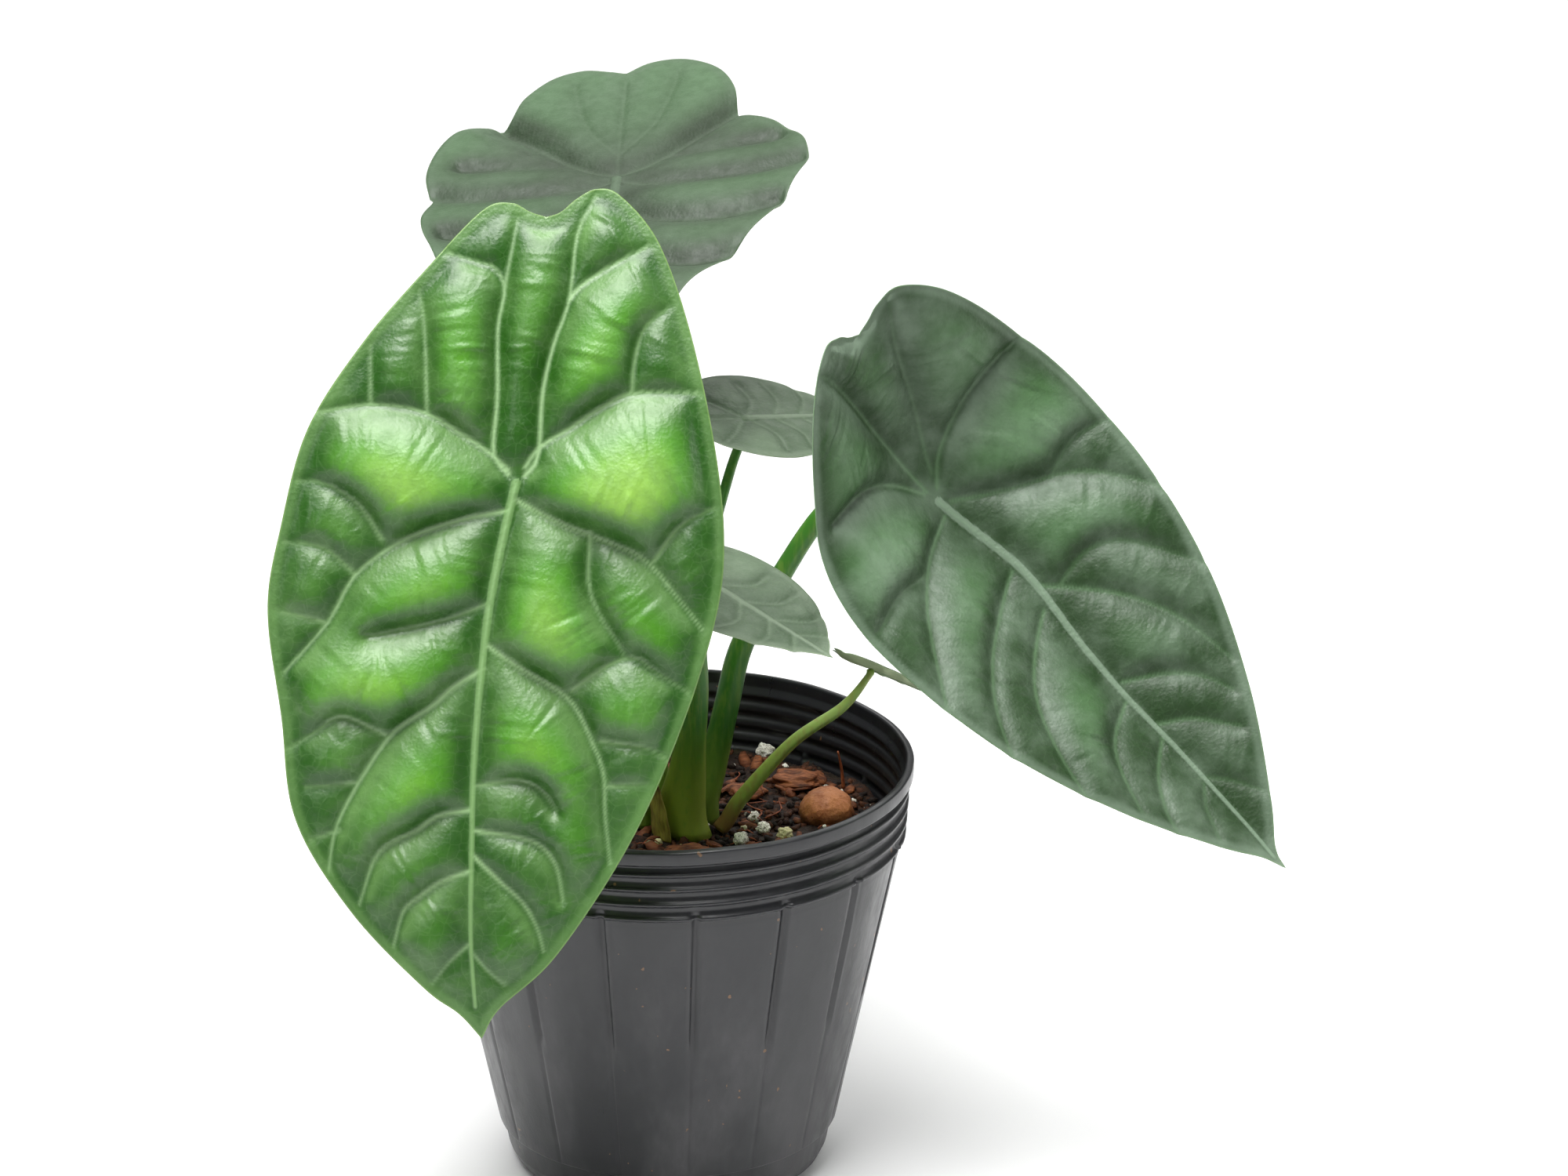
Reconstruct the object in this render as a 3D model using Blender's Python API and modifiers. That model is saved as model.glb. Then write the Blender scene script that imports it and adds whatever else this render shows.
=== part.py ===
"""Potted alocasia: a young plant with six quilted leaves in a round nursery pot.

Blender 4.5, metres, +Z up. The origin is the middle of the pot's flat underside,
which stands on the floor, and the plant's front looks along -Y.
Sizes are written in millimetres times MM.
"""
import math

import bmesh
import bpy
import numpy as np
from mathutils import Matrix, Vector, noise

MM = 0.001
GAP = 0.3 * MM

# Pot: a thin-walled 130 mm nursery pot with a ringed band under its lip.
POT_HEIGHT = 112 * MM
RIM_RADIUS = 65 * MM
LIP_DROP = 4 * MM
BAND_RADIUS = 63.4 * MM
RING_PITCH = 4.2 * MM
RING_COUNT = 4
RING_PROUD = 0.7 * MM
WALL_TOP_RADIUS = 61.2 * MM
STEP_HEIGHT = 12 * MM
STEP_RADIUS = 44.6 * MM
BASE_RADIUS = 38 * MM
WALL = 1.2 * MM
FLOOR = 1.6 * MM
DRAIN_COUNT = 8
DRAIN_RADIUS = 4.5 * MM
DRAIN_CIRCLE = 27 * MM

# Potting mix and what grows or lies in it.
SOIL_TOP = 92 * MM
CROWN_CENTRE = (3 * MM, 3 * MM)
CROWN_RADIUS = 15.5 * MM
CROWN_TOP = 93 * MM
CROWN_DEPTH = 24 * MM
ROOT_RADIUS = 1.4 * MM
PETIOLE_FOOT = CROWN_TOP + 2 * GAP

# Blades
BLADE_THICKNESS = 1.2 * MM
PETIOLE_CLEARANCE = 0.6 * MM


def clear_scene():
    for obj in list(bpy.data.objects):
        bpy.data.objects.remove(obj, do_unlink=True)
    for name in ("potted_alocasia", "cutters"):
        group = bpy.data.collections.get(name)
        if group:
            bpy.data.collections.remove(group)


def new_collection(name):
    group = bpy.data.collections.new(name)
    bpy.context.scene.collection.children.link(group)
    return group


def finish(name, colour, roughness, metallic=0.0):
    mat = bpy.data.materials.new(name)
    mat.use_nodes = True
    shader = mat.node_tree.nodes["Principled BSDF"]
    shader.inputs["Base Color"].default_value = (*colour, 1.0)
    shader.inputs["Roughness"].default_value = roughness
    shader.inputs["Metallic"].default_value = metallic
    mat.diffuse_color = (*colour, 1.0)
    return mat


def add_object(name, mesh, group, mat=None):
    obj = bpy.data.objects.new(name, mesh)
    group.objects.link(obj)
    if mat:
        mesh.materials.append(mat)
    return obj


def mark_cutter(obj):
    obj.hide_render = True
    obj.display_type = "WIRE"


def catmull(points, count):
    """A smooth curve through the points, read at equal steps of its length."""
    pts = np.array(points, float)
    ends = np.vstack([2 * pts[0] - pts[1], pts, 2 * pts[-1] - pts[-2]])
    fine = [pts[0]]
    for i in range(1, len(ends) - 2):
        a, b, c, d = ends[i - 1:i + 3]
        for t in np.linspace(0, 1, 17)[1:]:
            fine.append(0.5 * (2 * b + (c - a) * t + (2 * a - 5 * b + 4 * c - d) * t ** 2
                               + (3 * b - a - 3 * c + d) * t ** 3))
    fine = np.array(fine)
    length = np.concatenate([[0], np.cumsum(np.linalg.norm(np.diff(fine, axis=0), axis=1))])
    wanted = np.linspace(0, length[-1], count)
    return np.column_stack([np.interp(wanted, length, fine[:, k]) for k in range(pts.shape[1])])


def turned(name, profile, group, mat=None, steps=48):
    """Screw a profile of (radius, height) points once round the Z axis."""
    mesh = bpy.data.meshes.new(name)
    shape = bmesh.new()
    verts = [shape.verts.new((r, 0, z)) for r, z in profile]
    for a, b in zip(verts, verts[1:]):
        shape.edges.new((a, b))
    shape.to_mesh(mesh)
    shape.free()
    obj = add_object(name, mesh, group, mat)
    screw = obj.modifiers.new("Screw", "SCREW")
    screw.steps = steps
    screw.render_steps = steps
    screw.use_merge_vertices = True
    screw.merge_threshold = 0.00001
    screw.use_normal_calculate = False
    return obj


def tube(name, route, radii, group, mat=None, points=10, sides=2):
    """A round stalk along a smooth route, its radius going from foot to top."""
    line = catmull(route, points)
    curve = bpy.data.curves.new(name, "CURVE")
    curve.dimensions = "3D"
    curve.bevel_depth = MM
    curve.bevel_resolution = sides
    curve.use_fill_caps = True
    spline = curve.splines.new("POLY")
    spline.points.add(points - 1)
    along = np.linspace(0, 1, points)
    size = np.interp(along, np.linspace(0, 1, len(radii)), radii)
    for point, place, radius in zip(spline.points, line, size):
        point.co = (*place, 1)
        point.radius = radius / MM
    obj = bpy.data.objects.new(name, curve)
    group.objects.link(obj)
    if mat:
        curve.materials.append(mat)
    return obj


def to_mesh_object(obj, group):
    """Make a curve a mesh with its caps welded on, so that it can cut another piece."""
    depsgraph = bpy.context.evaluated_depsgraph_get()
    mesh = bpy.data.meshes.new_from_object(obj.evaluated_get(depsgraph))
    shape = bmesh.new()
    shape.from_mesh(mesh)
    bmesh.ops.remove_doubles(shape, verts=shape.verts, dist=0.00001)
    shape.to_mesh(mesh)
    shape.free()
    name = obj.name
    place = obj.matrix_world.copy()
    bpy.data.objects.remove(obj, do_unlink=True)
    solid = add_object(name, mesh, group)
    solid.matrix_world = place
    return solid


# ---------------------------------------------------------------- pot

def pot_outer_profile():
    """The outer side from the lip down to the middle of the base."""
    band_top = POT_HEIGHT - LIP_DROP
    profile = [(RIM_RADIUS - 1.0 * MM, POT_HEIGHT), (RIM_RADIUS, POT_HEIGHT - 0.8 * MM)]
    profile += [(RIM_RADIUS - 0.2 * MM, band_top), (BAND_RADIUS, band_top - 0.8 * MM)]
    for i in range(RING_COUNT):
        ring = band_top - (i + 0.75) * RING_PITCH
        radius = BAND_RADIUS - 0.35 * MM * (i + 1)
        profile += [(radius, ring + 1.2 * MM), (radius + RING_PROUD, ring),
                    (radius - 0.2 * MM, ring - 1.2 * MM)]
    wall_top = band_top - RING_COUNT * RING_PITCH - 2 * MM
    profile += [(WALL_TOP_RADIUS, wall_top), (STEP_RADIUS, STEP_HEIGHT)]
    profile += [(STEP_RADIUS - 1.0 * MM, STEP_HEIGHT - 1.2 * MM)]
    profile += [(BASE_RADIUS + 4.2 * MM, 5 * MM), (BASE_RADIUS + 2.6 * MM, 1.8 * MM)]
    profile += [(BASE_RADIUS, 0), (0, 0)]
    return profile


def pot_inner_profile(inset=0.0):
    """The inner side from the middle of the floor up to the lip."""
    inner = WALL + inset
    wall_top = POT_HEIGHT - LIP_DROP - RING_COUNT * RING_PITCH - 2 * MM
    return [(0, FLOOR + inset), (BASE_RADIUS - inner, FLOOR + inset),
            (BASE_RADIUS + 2.4 * MM - inner, 5 * MM + inset),
            (STEP_RADIUS - 1.0 * MM - inner, STEP_HEIGHT - 1.2 * MM),
            (WALL_TOP_RADIUS - inner, wall_top),
            (BAND_RADIUS - 0.6 * MM - inner, POT_HEIGHT - LIP_DROP - 0.8 * MM),
            (RIM_RADIUS - 1.0 * MM - inner, POT_HEIGHT - 0.8 * MM)]


def make_pot(parts, cutters):
    mat = finish("black_polypropylene", (0.012, 0.012, 0.014), 0.42)
    pot = turned("pot", pot_inner_profile() + pot_outer_profile(), parts, mat, steps=64)
    holes = bmesh.new()
    for i in range(DRAIN_COUNT):
        turn = math.tau * i / DRAIN_COUNT
        place = Matrix.Translation((DRAIN_CIRCLE * math.cos(turn), DRAIN_CIRCLE * math.sin(turn), 0))
        bmesh.ops.create_cone(holes, cap_ends=True, segments=16, radius1=DRAIN_RADIUS,
                              radius2=DRAIN_RADIUS, depth=8 * MM, matrix=place)
    mesh = bpy.data.meshes.new("drain_holes")
    holes.to_mesh(mesh)
    holes.free()
    cutter = add_object("drain_holes", mesh, cutters)
    mark_cutter(cutter)
    cut = pot.modifiers.new("Drain holes", "BOOLEAN")
    cut.object = cutter
    return pot


# ---------------------------------------------------------------- crown and roots

def crown_profile(extra=0.0, top=CROWN_TOP):
    """The buried stem base: flat-topped, blunt below, with ring scars."""
    profile = [(0, top), (CROWN_RADIUS - 1.5 * MM + extra, top)]
    profile += [(CROWN_RADIUS + extra, CROWN_TOP - 1.5 * MM)]
    for depth, radius in ((6, 14.6), (7, 15.2), (12, 13.2), (13, 13.8), (18, 10.6), (22, 6.5)):
        profile.append((radius * MM + extra, CROWN_TOP - depth * MM))
    profile.append((0, CROWN_TOP - CROWN_DEPTH - extra))
    return profile


# name: the compass turn it leaves the crown at, and its route as (distance out, height) in mm
ROOTS = {
    "root_1": (20, [(16.4, 86), (27, 81), (36, 62), (33, 36)]),
    "root_2": (95, [(16.4, 86), (28, 79), (35, 58), (30, 32)]),
    "root_3": (160, [(16.4, 86), (30, 80), (38, 62), (36, 38)]),
    "root_4": (235, [(16.4, 86), (27, 78), (36, 56), (30, 30)]),
    "root_5": (300, [(16.4, 86), (29, 80), (37, 56), (32, 28)]),
}


def root_points(turn, route):
    """A root's route in the world, curling a little sideways as it goes down."""
    points = []
    for i, (out, height) in enumerate(route):
        angle = math.radians(turn + 5 * i)
        points.append((CROWN_CENTRE[0] + out * MM * math.cos(angle),
                       CROWN_CENTRE[1] + out * MM * math.sin(angle), height * MM))
    return points


def make_crown(parts):
    mat = finish("brown_stem_base", (0.16, 0.075, 0.035), 0.75)
    crown = turned("rhizome", crown_profile(), parts, mat, steps=32)
    crown.location = (*CROWN_CENTRE, 0)
    return crown


def make_roots(parts):
    mat = finish("pale_root", (0.52, 0.42, 0.27), 0.7)
    for name, (turn, route) in ROOTS.items():
        tube(name, root_points(turn, route), [ROOT_RADIUS, 0.6 * ROOT_RADIUS], parts, mat, points=9)


# ---------------------------------------------------------------- loose pieces on the mix

# name: place of the middle, the three half sizes and the turn about Z, in mm and degrees
GRAINS = {
    "perlite_1": ((26, 51, 93), (2.6, 2.2, 2.0), 10),
    "perlite_2": ((25.5, -3, 93), (2.0, 1.8, 1.7), 40),
    "perlite_3": ((31, -8, 93), (2.7, 2.2, 2.0), 75),
    "perlite_4": ((23, 3.5, 93), (1.7, 1.6, 1.5), 20),
    "perlite_5": ((19.5, -11, 93), (2.2, 2.0, 1.8), 55),
    "perlite_6": ((-24, 26, 93), (2.4, 2.0, 1.9), 15),
    "perlite_7": ((-30, -22, 93), (2.2, 2.4, 1.8), 35),
}
CHIPS = {
    "husk_chip_1": ((34, 30, 93.5), (8, 4.5, 2.2), 25),
    "husk_chip_2": ((21, 22, 93.2), (6, 3.8, 2.0), -40),
    "husk_chip_3": ((6, -20, 93.2), (6.5, 3.6, 2.0), 15),
    "husk_chip_4": ((-22, 6, 93.4), (7, 4.0, 2.2), 80),
    "husk_chip_5": ((-6, 40, 93.4), (7.5, 4.2, 2.2), -15),
    "husk_chip_6": ((-8, -36, 93.2), (7, 3.8, 2.0), 50),
}
PEBBLE_PLACE = (42 * MM, 5 * MM, 94.5 * MM)
PEBBLE_SIZE = (7.6, 6.8, 6.4)


def lump(name, place, half, turn, seed, extra=0.0, detail=2, rough=0.12):
    """A rounded broken lump: an icosphere with its corners moved in and out."""
    shape = bmesh.new()
    bmesh.ops.create_icosphere(shape, subdivisions=detail, radius=1)
    for vert in shape.verts:
        wobble = noise.noise(vert.co * 1.7 + Vector((seed * 7.3, seed * 1.9, 0)))
        vert.co = vert.co * (1 + rough * wobble)
        vert.co = Vector((vert.co.x * (half[0] * MM + extra), vert.co.y * (half[1] * MM + extra),
                          vert.co.z * (half[2] * MM + extra)))
    turned_by = Matrix.Rotation(math.radians(turn), 4, "Z")
    bmesh.ops.transform(shape, matrix=Matrix.Translation(place) @ turned_by, verts=shape.verts)
    mesh = bpy.data.meshes.new(name)
    shape.to_mesh(mesh)
    shape.free()
    return mesh


def loose_pieces():
    """Every loose piece with its shape values, listed once for the pieces and their sockets."""
    pieces = []
    for seed, (name, (place, half, turn)) in enumerate(GRAINS.items()):
        pieces.append((name, tuple(c * MM for c in place), half, turn, seed, 2, 0.35))
    for seed, (name, (place, half, turn)) in enumerate(CHIPS.items()):
        pieces.append((name, tuple(c * MM for c in place), half, turn, seed + 20, 2, 0.25))
    pieces.append(("clay_pebble", PEBBLE_PLACE, PEBBLE_SIZE, 20, 50, 3, 0.08))
    return pieces


def make_loose_pieces(parts):
    mats = {"perlite": finish("white_perlite", (0.75, 0.73, 0.65), 0.9),
            "husk": finish("coir_husk", (0.19, 0.07, 0.03), 0.9),
            "clay": finish("fired_clay", (0.42, 0.13, 0.045), 0.85)}
    for name, place, half, turn, seed, detail, rough in loose_pieces():
        mesh = lump(name, place, half, turn, seed, detail=detail, rough=rough)
        add_object(name, mesh, parts, mats[name.split("_")[0]])
    fibre = finish("coir_fibre", (0.25, 0.08, 0.035), 0.8)
    routes = {"coir_fibre_1": [(46.5, 22, 94), (46, 22.5, 99), (45, 22, 104.5)],
              "coir_fibre_2": [(-30, 34, 94), (-33, 36, 98), (-34, 39, 102)]}
    for name, route in routes.items():
        points = [tuple(c * MM for c in p) for p in route]
        tube(name, points, [0.6 * MM, 0.35 * MM], parts, fibre, points=5)


# ---------------------------------------------------------------- potting mix

def make_mix(parts, cutters):
    """The mix fills the pot to 20 mm under its lip and is cut round all that sits in it."""
    mat = finish("peat_and_husk_mix", (0.045, 0.022, 0.012), 0.95)
    side = [(r, z) for r, z in pot_inner_profile(GAP) if z < SOIL_TOP - 10 * MM]
    low, high = pot_inner_profile(GAP)[3:5]
    lean = (high[0] - low[0]) / (high[1] - low[1])
    edge = low[0] + lean * (SOIL_TOP - low[1]) - 0.6 * MM
    profile = [(0, SOIL_TOP), (edge * 0.35, SOIL_TOP), (edge * 0.6, SOIL_TOP),
               (edge * 0.82, SOIL_TOP), (edge, SOIL_TOP - 1 * MM)] + side[::-1]
    mix = turned("potting_mix", profile, parts, mat, steps=40)

    group = bpy.data.collections.new("mix_cutters")
    cutters.children.link(group)
    pocket = turned("crown_pocket", crown_profile(GAP, CROWN_TOP + 10 * MM), group, steps=32)
    pocket.location = (*CROWN_CENTRE, 0)
    mark_cutter(pocket)
    for name, (turn, route) in ROOTS.items():
        points = [np.array(point) for point in root_points(turn, route)]
        inside = points[0] + 0.5 * (np.array((*CROWN_CENTRE, points[0][2])) - points[0])
        beyond = points[-1] + (points[-1] - points[-2]) * 0.06
        curve = tube(name + "_channel", [inside] + points + [beyond], [1.6 * ROOT_RADIUS],
                     cutters, points=14)
        solid = to_mesh_object(curve, group)
        mark_cutter(solid)
    for name, place, half, turn, seed, detail, rough in loose_pieces():
        mesh = lump(name + "_socket", place, half, turn, seed, extra=2 * GAP, detail=detail,
                    rough=rough)
        mark_cutter(add_object(name + "_socket", mesh, group))
    cut = mix.modifiers.new("Pockets", "BOOLEAN")
    cut.operand_type = "COLLECTION"
    cut.collection = group
    return mix


# ---------------------------------------------------------------- leaves

# A blade outline runs from the tip up one side to the notch between the lobes:
# across the blade and along it from the petiole joint, in mm, the tip at negative y.
FRONT_LEFT = [(0, -139), (-6, -133), (-15, -127), (-34, -109), (-49, -87), (-54, -62), (-59, -36),
              (-57, -15), (-52, 9), (-40, 31), (-26, 50), (-13, 66), (-5, 69), (3, 66)]
FRONT_RIGHT = [(0, -139), (4, -131), (17, -117), (33, -89), (44, -60), (51, -32), (52, -12),
               (48, 12), (40, 40), (31, 61), (21, 72), (13, 74), (7, 70), (3, 66)]
# The usual blade, as shares of its half width and of the length from joint to tip.
USUAL_SIDE = [(0, -1), (0.05, -0.955), (0.22, -0.88), (0.55, -0.70), (0.83, -0.48), (0.98, -0.25),
              (1.0, -0.05), (0.92, 0.14), (0.74, 0.31), (0.52, 0.44), (0.30, 0.50), (0.14, 0.48),
              (0, 0.42)]


# The back blade is broader at the joint and runs in to its tip more evenly.
BROAD_SIDE = [(0, -1), (0.07, -0.93), (0.20, -0.80), (0.42, -0.60), (0.66, -0.40), (0.87, -0.20),
              (1.0, 0.0), (0.98, 0.12), (0.83, 0.25), (0.66, 0.38), (0.42, 0.47), (0.16, 0.48),
              (0, 0.42)]


class Leaf:
    """One blade and its petiole, in mm and degrees.

    joint     where the petiole meets the blade's underside
    tip_way   the direction from the joint to the tip
    face_way  roughly the way the upper side looks
    sides     left and right outlines from tip to notch
    bow       how far the midrib bows sideways
    bend      the lift of the midrib's slope at places along it, (y, degrees)
    fold      how steeply the two halves rise from the midrib
    puff      height of the panels between the side veins
    route     the petiole's route from the crown, and radii from foot to top
    """

    def __init__(self, name, joint, tip_way, face_way, sides, route, radii, bow=0, bend=((0, 0),),
                 fold=0, puff=3.0, wave=0.0, size=(14, 22)):
        self.name = name
        self.joint = np.array(joint, float)
        back = -np.array(tip_way, float)
        self.along = back / np.linalg.norm(back)
        across = np.cross(self.along, np.array(face_way, float))
        self.across = across / np.linalg.norm(across)
        self.face = np.cross(self.across, self.along)
        self.sides = sides
        self.route = route
        self.radii = radii
        self.bow = bow
        self.bend = bend
        self.fold = fold
        self.puff = puff
        self.wave = wave
        self.size = size

    def flat(self):
        """Points of the flat blade: (rows, columns, 2), rows from the tip to the notch."""
        columns, rows = self.size
        left = catmull(self.sides[0], rows + 1)
        right = catmull(self.sides[1], rows + 1)
        tip, notch = np.array(self.sides[0][0], float), np.array(self.sides[0][-1], float)
        share = np.linspace(0, 1, rows + 1)[:, None]
        middle = tip + (notch - tip) * share
        middle[:, 0] -= self.bow * np.sin(math.pi * share[:, 0])
        grid = np.zeros((rows + 1, columns + 1, 2))
        for j, u in enumerate(np.linspace(-1, 1, columns + 1)):
            edge = left if u < 0 else right
            grid[:, j] = middle + abs(u) * (edge - middle)
        return grid

    def surface(self):
        """The upper side in the world, in mm: puffed, folded and bent along the midrib."""
        grid = self.flat()
        rows, columns = grid.shape[:2]
        share = np.linspace(0, 1, rows)[:, None]
        out = np.abs(np.linspace(-1, 1, columns))[None, :]
        x, y = grid[..., 0], grid[..., 1]
        panels = np.abs(np.sin(math.pi * 5 * (share + 0.10 * out))) ** 0.6
        height = self.puff * panels * np.sin(math.pi * out) ** 0.7
        height += np.tan(math.radians(self.fold)) * (np.sqrt(x ** 2 + 9) - 3)
        height += self.wave * out ** 2 * np.sin(math.tau * 2.2 * share + 1.0)
        step = np.linspace(y.min() - 1, y.max() + 1, 400)
        stations = np.array(self.bend, float)
        angle = np.radians(np.interp(step, stations[:, 0], stations[:, 1]))
        run = np.concatenate([[0], np.cumsum(np.cos(angle[1:]) * np.diff(step))])
        rise = np.concatenate([[0], np.cumsum(np.sin(angle[1:]) * np.diff(step))])
        run -= np.interp(0, step, run)
        rise -= np.interp(0, step, rise)
        slope = np.interp(y, step, angle)
        back = np.interp(y, step, run) - height * np.sin(slope)
        lift = np.interp(y, step, rise) + height * np.cos(slope)
        return (self.joint + x[..., None] * self.across + back[..., None] * self.along
                + lift[..., None] * self.face)

    def make_blade(self, parts, mat):
        points = self.surface() * MM
        rows, columns = points.shape[:2]
        shape = bmesh.new()
        bmesh.ops.create_grid(shape, x_segments=columns - 1, y_segments=rows - 1, size=1)
        for vert in shape.verts:
            column = round((vert.co.x + 1) / 2 * (columns - 1))
            row = round((vert.co.y + 1) / 2 * (rows - 1))
            vert.co = points[row, column]
        bmesh.ops.remove_doubles(shape, verts=shape.verts, dist=0.01 * MM)
        mesh = bpy.data.meshes.new(self.name)
        shape.to_mesh(mesh)
        shape.free()
        obj = add_object(self.name, mesh, parts, mat)
        skin = obj.modifiers.new("Thickness", "SOLIDIFY")
        skin.thickness = BLADE_THICKNESS
        skin.offset = -1
        return obj

    def make_petiole(self, parts, mat):
        end = self.joint * MM - self.face * (BLADE_THICKNESS + PETIOLE_CLEARANCE)
        before = self.joint * MM - self.face * 9 * MM
        foot = np.array((*self.route[0][:2], 0)) * MM + (0, 0, PETIOLE_FOOT)
        upright = foot + (0, 0, 5 * MM)
        route = [foot, upright] + [np.array(p) * MM for p in self.route[1:]] + [before, end]
        name = self.name.replace("leaf", "petiole")
        return tube(name, route, [r * MM for r in self.radii], parts, mat, points=16, sides=3)


def sized_sides(left_width, right_width, tip_length, lobe=1.0, side=USUAL_SIDE):
    """An outline at a size: both half widths, joint to tip, and the lobes' reach."""
    sides = []
    for half_width in (-left_width, right_width):
        sides.append([(across * half_width, along * tip_length * (lobe if along > 0 else 1))
                      for across, along in side])
    return sides


def leaf_list():
    return [
        Leaf("front_leaf", (-35, -62, 210), (-0.064, -0.346, -0.936), (0, -0.938, 0.347),
             (FRONT_LEFT, FRONT_RIGHT),
             [(4, -5, 93), (6, -6, 112), (8, -6, 135), (6, -5, 158), (0, -7, 180), (-12, -22, 200),
              (-27, -42, 208)], [5.5, 3.4, 3.0, 2.8, 2.6, 2.4, 2.2], bow=5, puff=4.0,
             bend=((-139, 14), (-90, 2), (0, 0), (70, -12))),
        Leaf("right_leaf", (69.6, -5, 184.7), (0.678, -0.308, -0.668), (0.25, -0.75, 0.6),
             sized_sides(46, 45, 130, 0.95),
             [(10, 4, 93), (12, 5, 106), (16, 7, 124), (20, 8, 140), (30, 8, 159), (42, 6, 178),
              (56, 7, 186)], [4.0, 3.4, 3.0, 2.6, 2.3, 2.0], fold=20, puff=4.0,
             bend=((-130, -6), (-20, 0), (5, 20), (30, 46), (70, 50))),
        Leaf("back_leaf", (-13.2, 75, 246), (-0.04, -0.99, -0.122), (-0.13, -0.12, 0.98),
             (sized_sides(50, 50, 108, 1.1)[0], sized_sides(48, 48, 108, 1.1, BROAD_SIDE)[1]),
             [(-3, 7, 93), (-4, 12, 125), (-7, 28, 170), (-10, 52, 212), (-12, 68, 230)],
             [4.0, 3.2, 2.8, 2.4, 2.1], puff=3.0, wave=4.0,
             bend=((-108, 24), (-60, 8), (0, 0), (20, 2), (60, 4))),
        Leaf("upper_leaf", (21, 45, 189.5), (0.87, 0.47, -0.13), (0, -0.3, 0.95),
             sized_sides(20, 20, 33, 1.1),
             [(3, 13, 93), (4, 18, 120), (9, 28, 150), (16, 40, 174)], [2.2, 1.8, 1.5, 1.2],
             puff=1.2, size=(8, 12)),
        Leaf("lower_leaf", (12, -28, 170.5), (0.76, -0.60, -0.27), (0.24, -0.13, 0.96),
             sized_sides(22, 22, 41),
             [(-6, 0, 93), (-9, -3, 112), (-6, -14, 134), (3, -24, 152)], [2.6, 2.0, 1.7, 1.5],
             puff=1.2, size=(8, 12)),
        Leaf("small_leaf", (53.7, 5, 135), (0.92, -0.10, -0.37), (0.36, 0.43, 0.82),
             sized_sides(8.5, 8.5, 22),
             [(14, -2, 93), (20, -1, 101), (33, 2, 115), (46, 4, 124)], [2.2, 1.9, 1.6, 1.4, 0.8],
             puff=0.5, size=(8, 10)),
    ]


def make_leaves(parts):
    young = finish("glossy_young_blade", (0.13, 0.36, 0.03), 0.3)
    grown = finish("matte_grown_blade", (0.07, 0.17, 0.07), 0.5)
    stalk = finish("green_petiole", (0.10, 0.22, 0.03), 0.45)
    for leaf in leaf_list():
        leaf.make_blade(parts, young if leaf.name == "front_leaf" else grown)
        leaf.make_petiole(parts, stalk)


def make_cataphyll(parts):
    """The dry papery scale that stands round the foot of the front petiole."""
    mat = finish("papery_scale", (0.36, 0.25, 0.06), 0.6)
    centre = (4 * MM, -5 * MM)
    radius, height = 7.2 * MM, 20 * MM
    start, end = math.radians(160), math.radians(250)
    shape = bmesh.new()
    bmesh.ops.create_grid(shape, x_segments=8, y_segments=6, size=1)
    for vert in shape.verts:
        rise = (vert.co.y + 1) / 2
        half = (end - start) / 2 * (1 - 0.8 * rise ** 1.6)
        turn = (start + end) / 2 + vert.co.x * half
        out = radius + 1.5 * MM * rise
        vert.co = (centre[0] + out * math.cos(turn), centre[1] + out * math.sin(turn),
                   PETIOLE_FOOT + height * rise)
    mesh = bpy.data.meshes.new("cataphyll")
    shape.to_mesh(mesh)
    shape.free()
    obj = add_object("cataphyll", mesh, parts, mat)
    skin = obj.modifiers.new("Thickness", "SOLIDIFY")
    skin.thickness = 0.6 * MM
    skin.offset = 0
    return obj


def main():
    clear_scene()
    parts = new_collection("potted_alocasia")
    cutters = new_collection("cutters")
    make_pot(parts, cutters)
    make_mix(parts, cutters)
    make_crown(parts)
    make_roots(parts)
    make_loose_pieces(parts)
    make_leaves(parts)
    make_cataphyll(parts)


main()
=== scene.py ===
"""Looks of the potted alocasia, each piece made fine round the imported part.

Sizes are in millimetres and are turned to metres by MM where a mesh is made.
Up is +Z, and the plant's front looks along -Y.
"""
import math

import bmesh
import bpy
import numpy as np
from mathutils import Matrix, Vector, noise


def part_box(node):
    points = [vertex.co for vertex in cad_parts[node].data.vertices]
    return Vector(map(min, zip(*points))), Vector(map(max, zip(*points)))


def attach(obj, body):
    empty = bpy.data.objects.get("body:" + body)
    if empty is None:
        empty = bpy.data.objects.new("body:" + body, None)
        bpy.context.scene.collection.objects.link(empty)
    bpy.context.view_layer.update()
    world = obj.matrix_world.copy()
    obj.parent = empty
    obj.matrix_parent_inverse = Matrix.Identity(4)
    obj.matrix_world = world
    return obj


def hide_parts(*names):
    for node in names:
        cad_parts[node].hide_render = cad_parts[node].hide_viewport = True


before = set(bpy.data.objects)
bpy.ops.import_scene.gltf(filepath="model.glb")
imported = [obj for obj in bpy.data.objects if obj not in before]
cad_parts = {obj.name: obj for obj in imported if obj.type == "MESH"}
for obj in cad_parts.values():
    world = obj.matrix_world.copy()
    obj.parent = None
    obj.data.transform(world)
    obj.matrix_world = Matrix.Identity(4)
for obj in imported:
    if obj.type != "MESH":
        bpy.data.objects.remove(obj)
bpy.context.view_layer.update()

# ---------------------------------------------------------------- studio
# A seamless pale floor under one large soft light overhead, two small fills and a light
# that keeps the far floor white, with a long lens looking a little down into the pot.

scene = bpy.context.scene
scene.view_settings.view_transform = "Standard"

camera = bpy.data.objects.new("camera", bpy.data.cameras.new("camera"))
scene.collection.objects.link(camera)
camera.location = (0.0308, -1.5793, 0.7427)
camera.rotation_euler = (math.radians(90 - 20.3), 0, 0)
camera.data.lens = 150.2
camera.data.sensor_width = 36
scene.camera = camera


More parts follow.
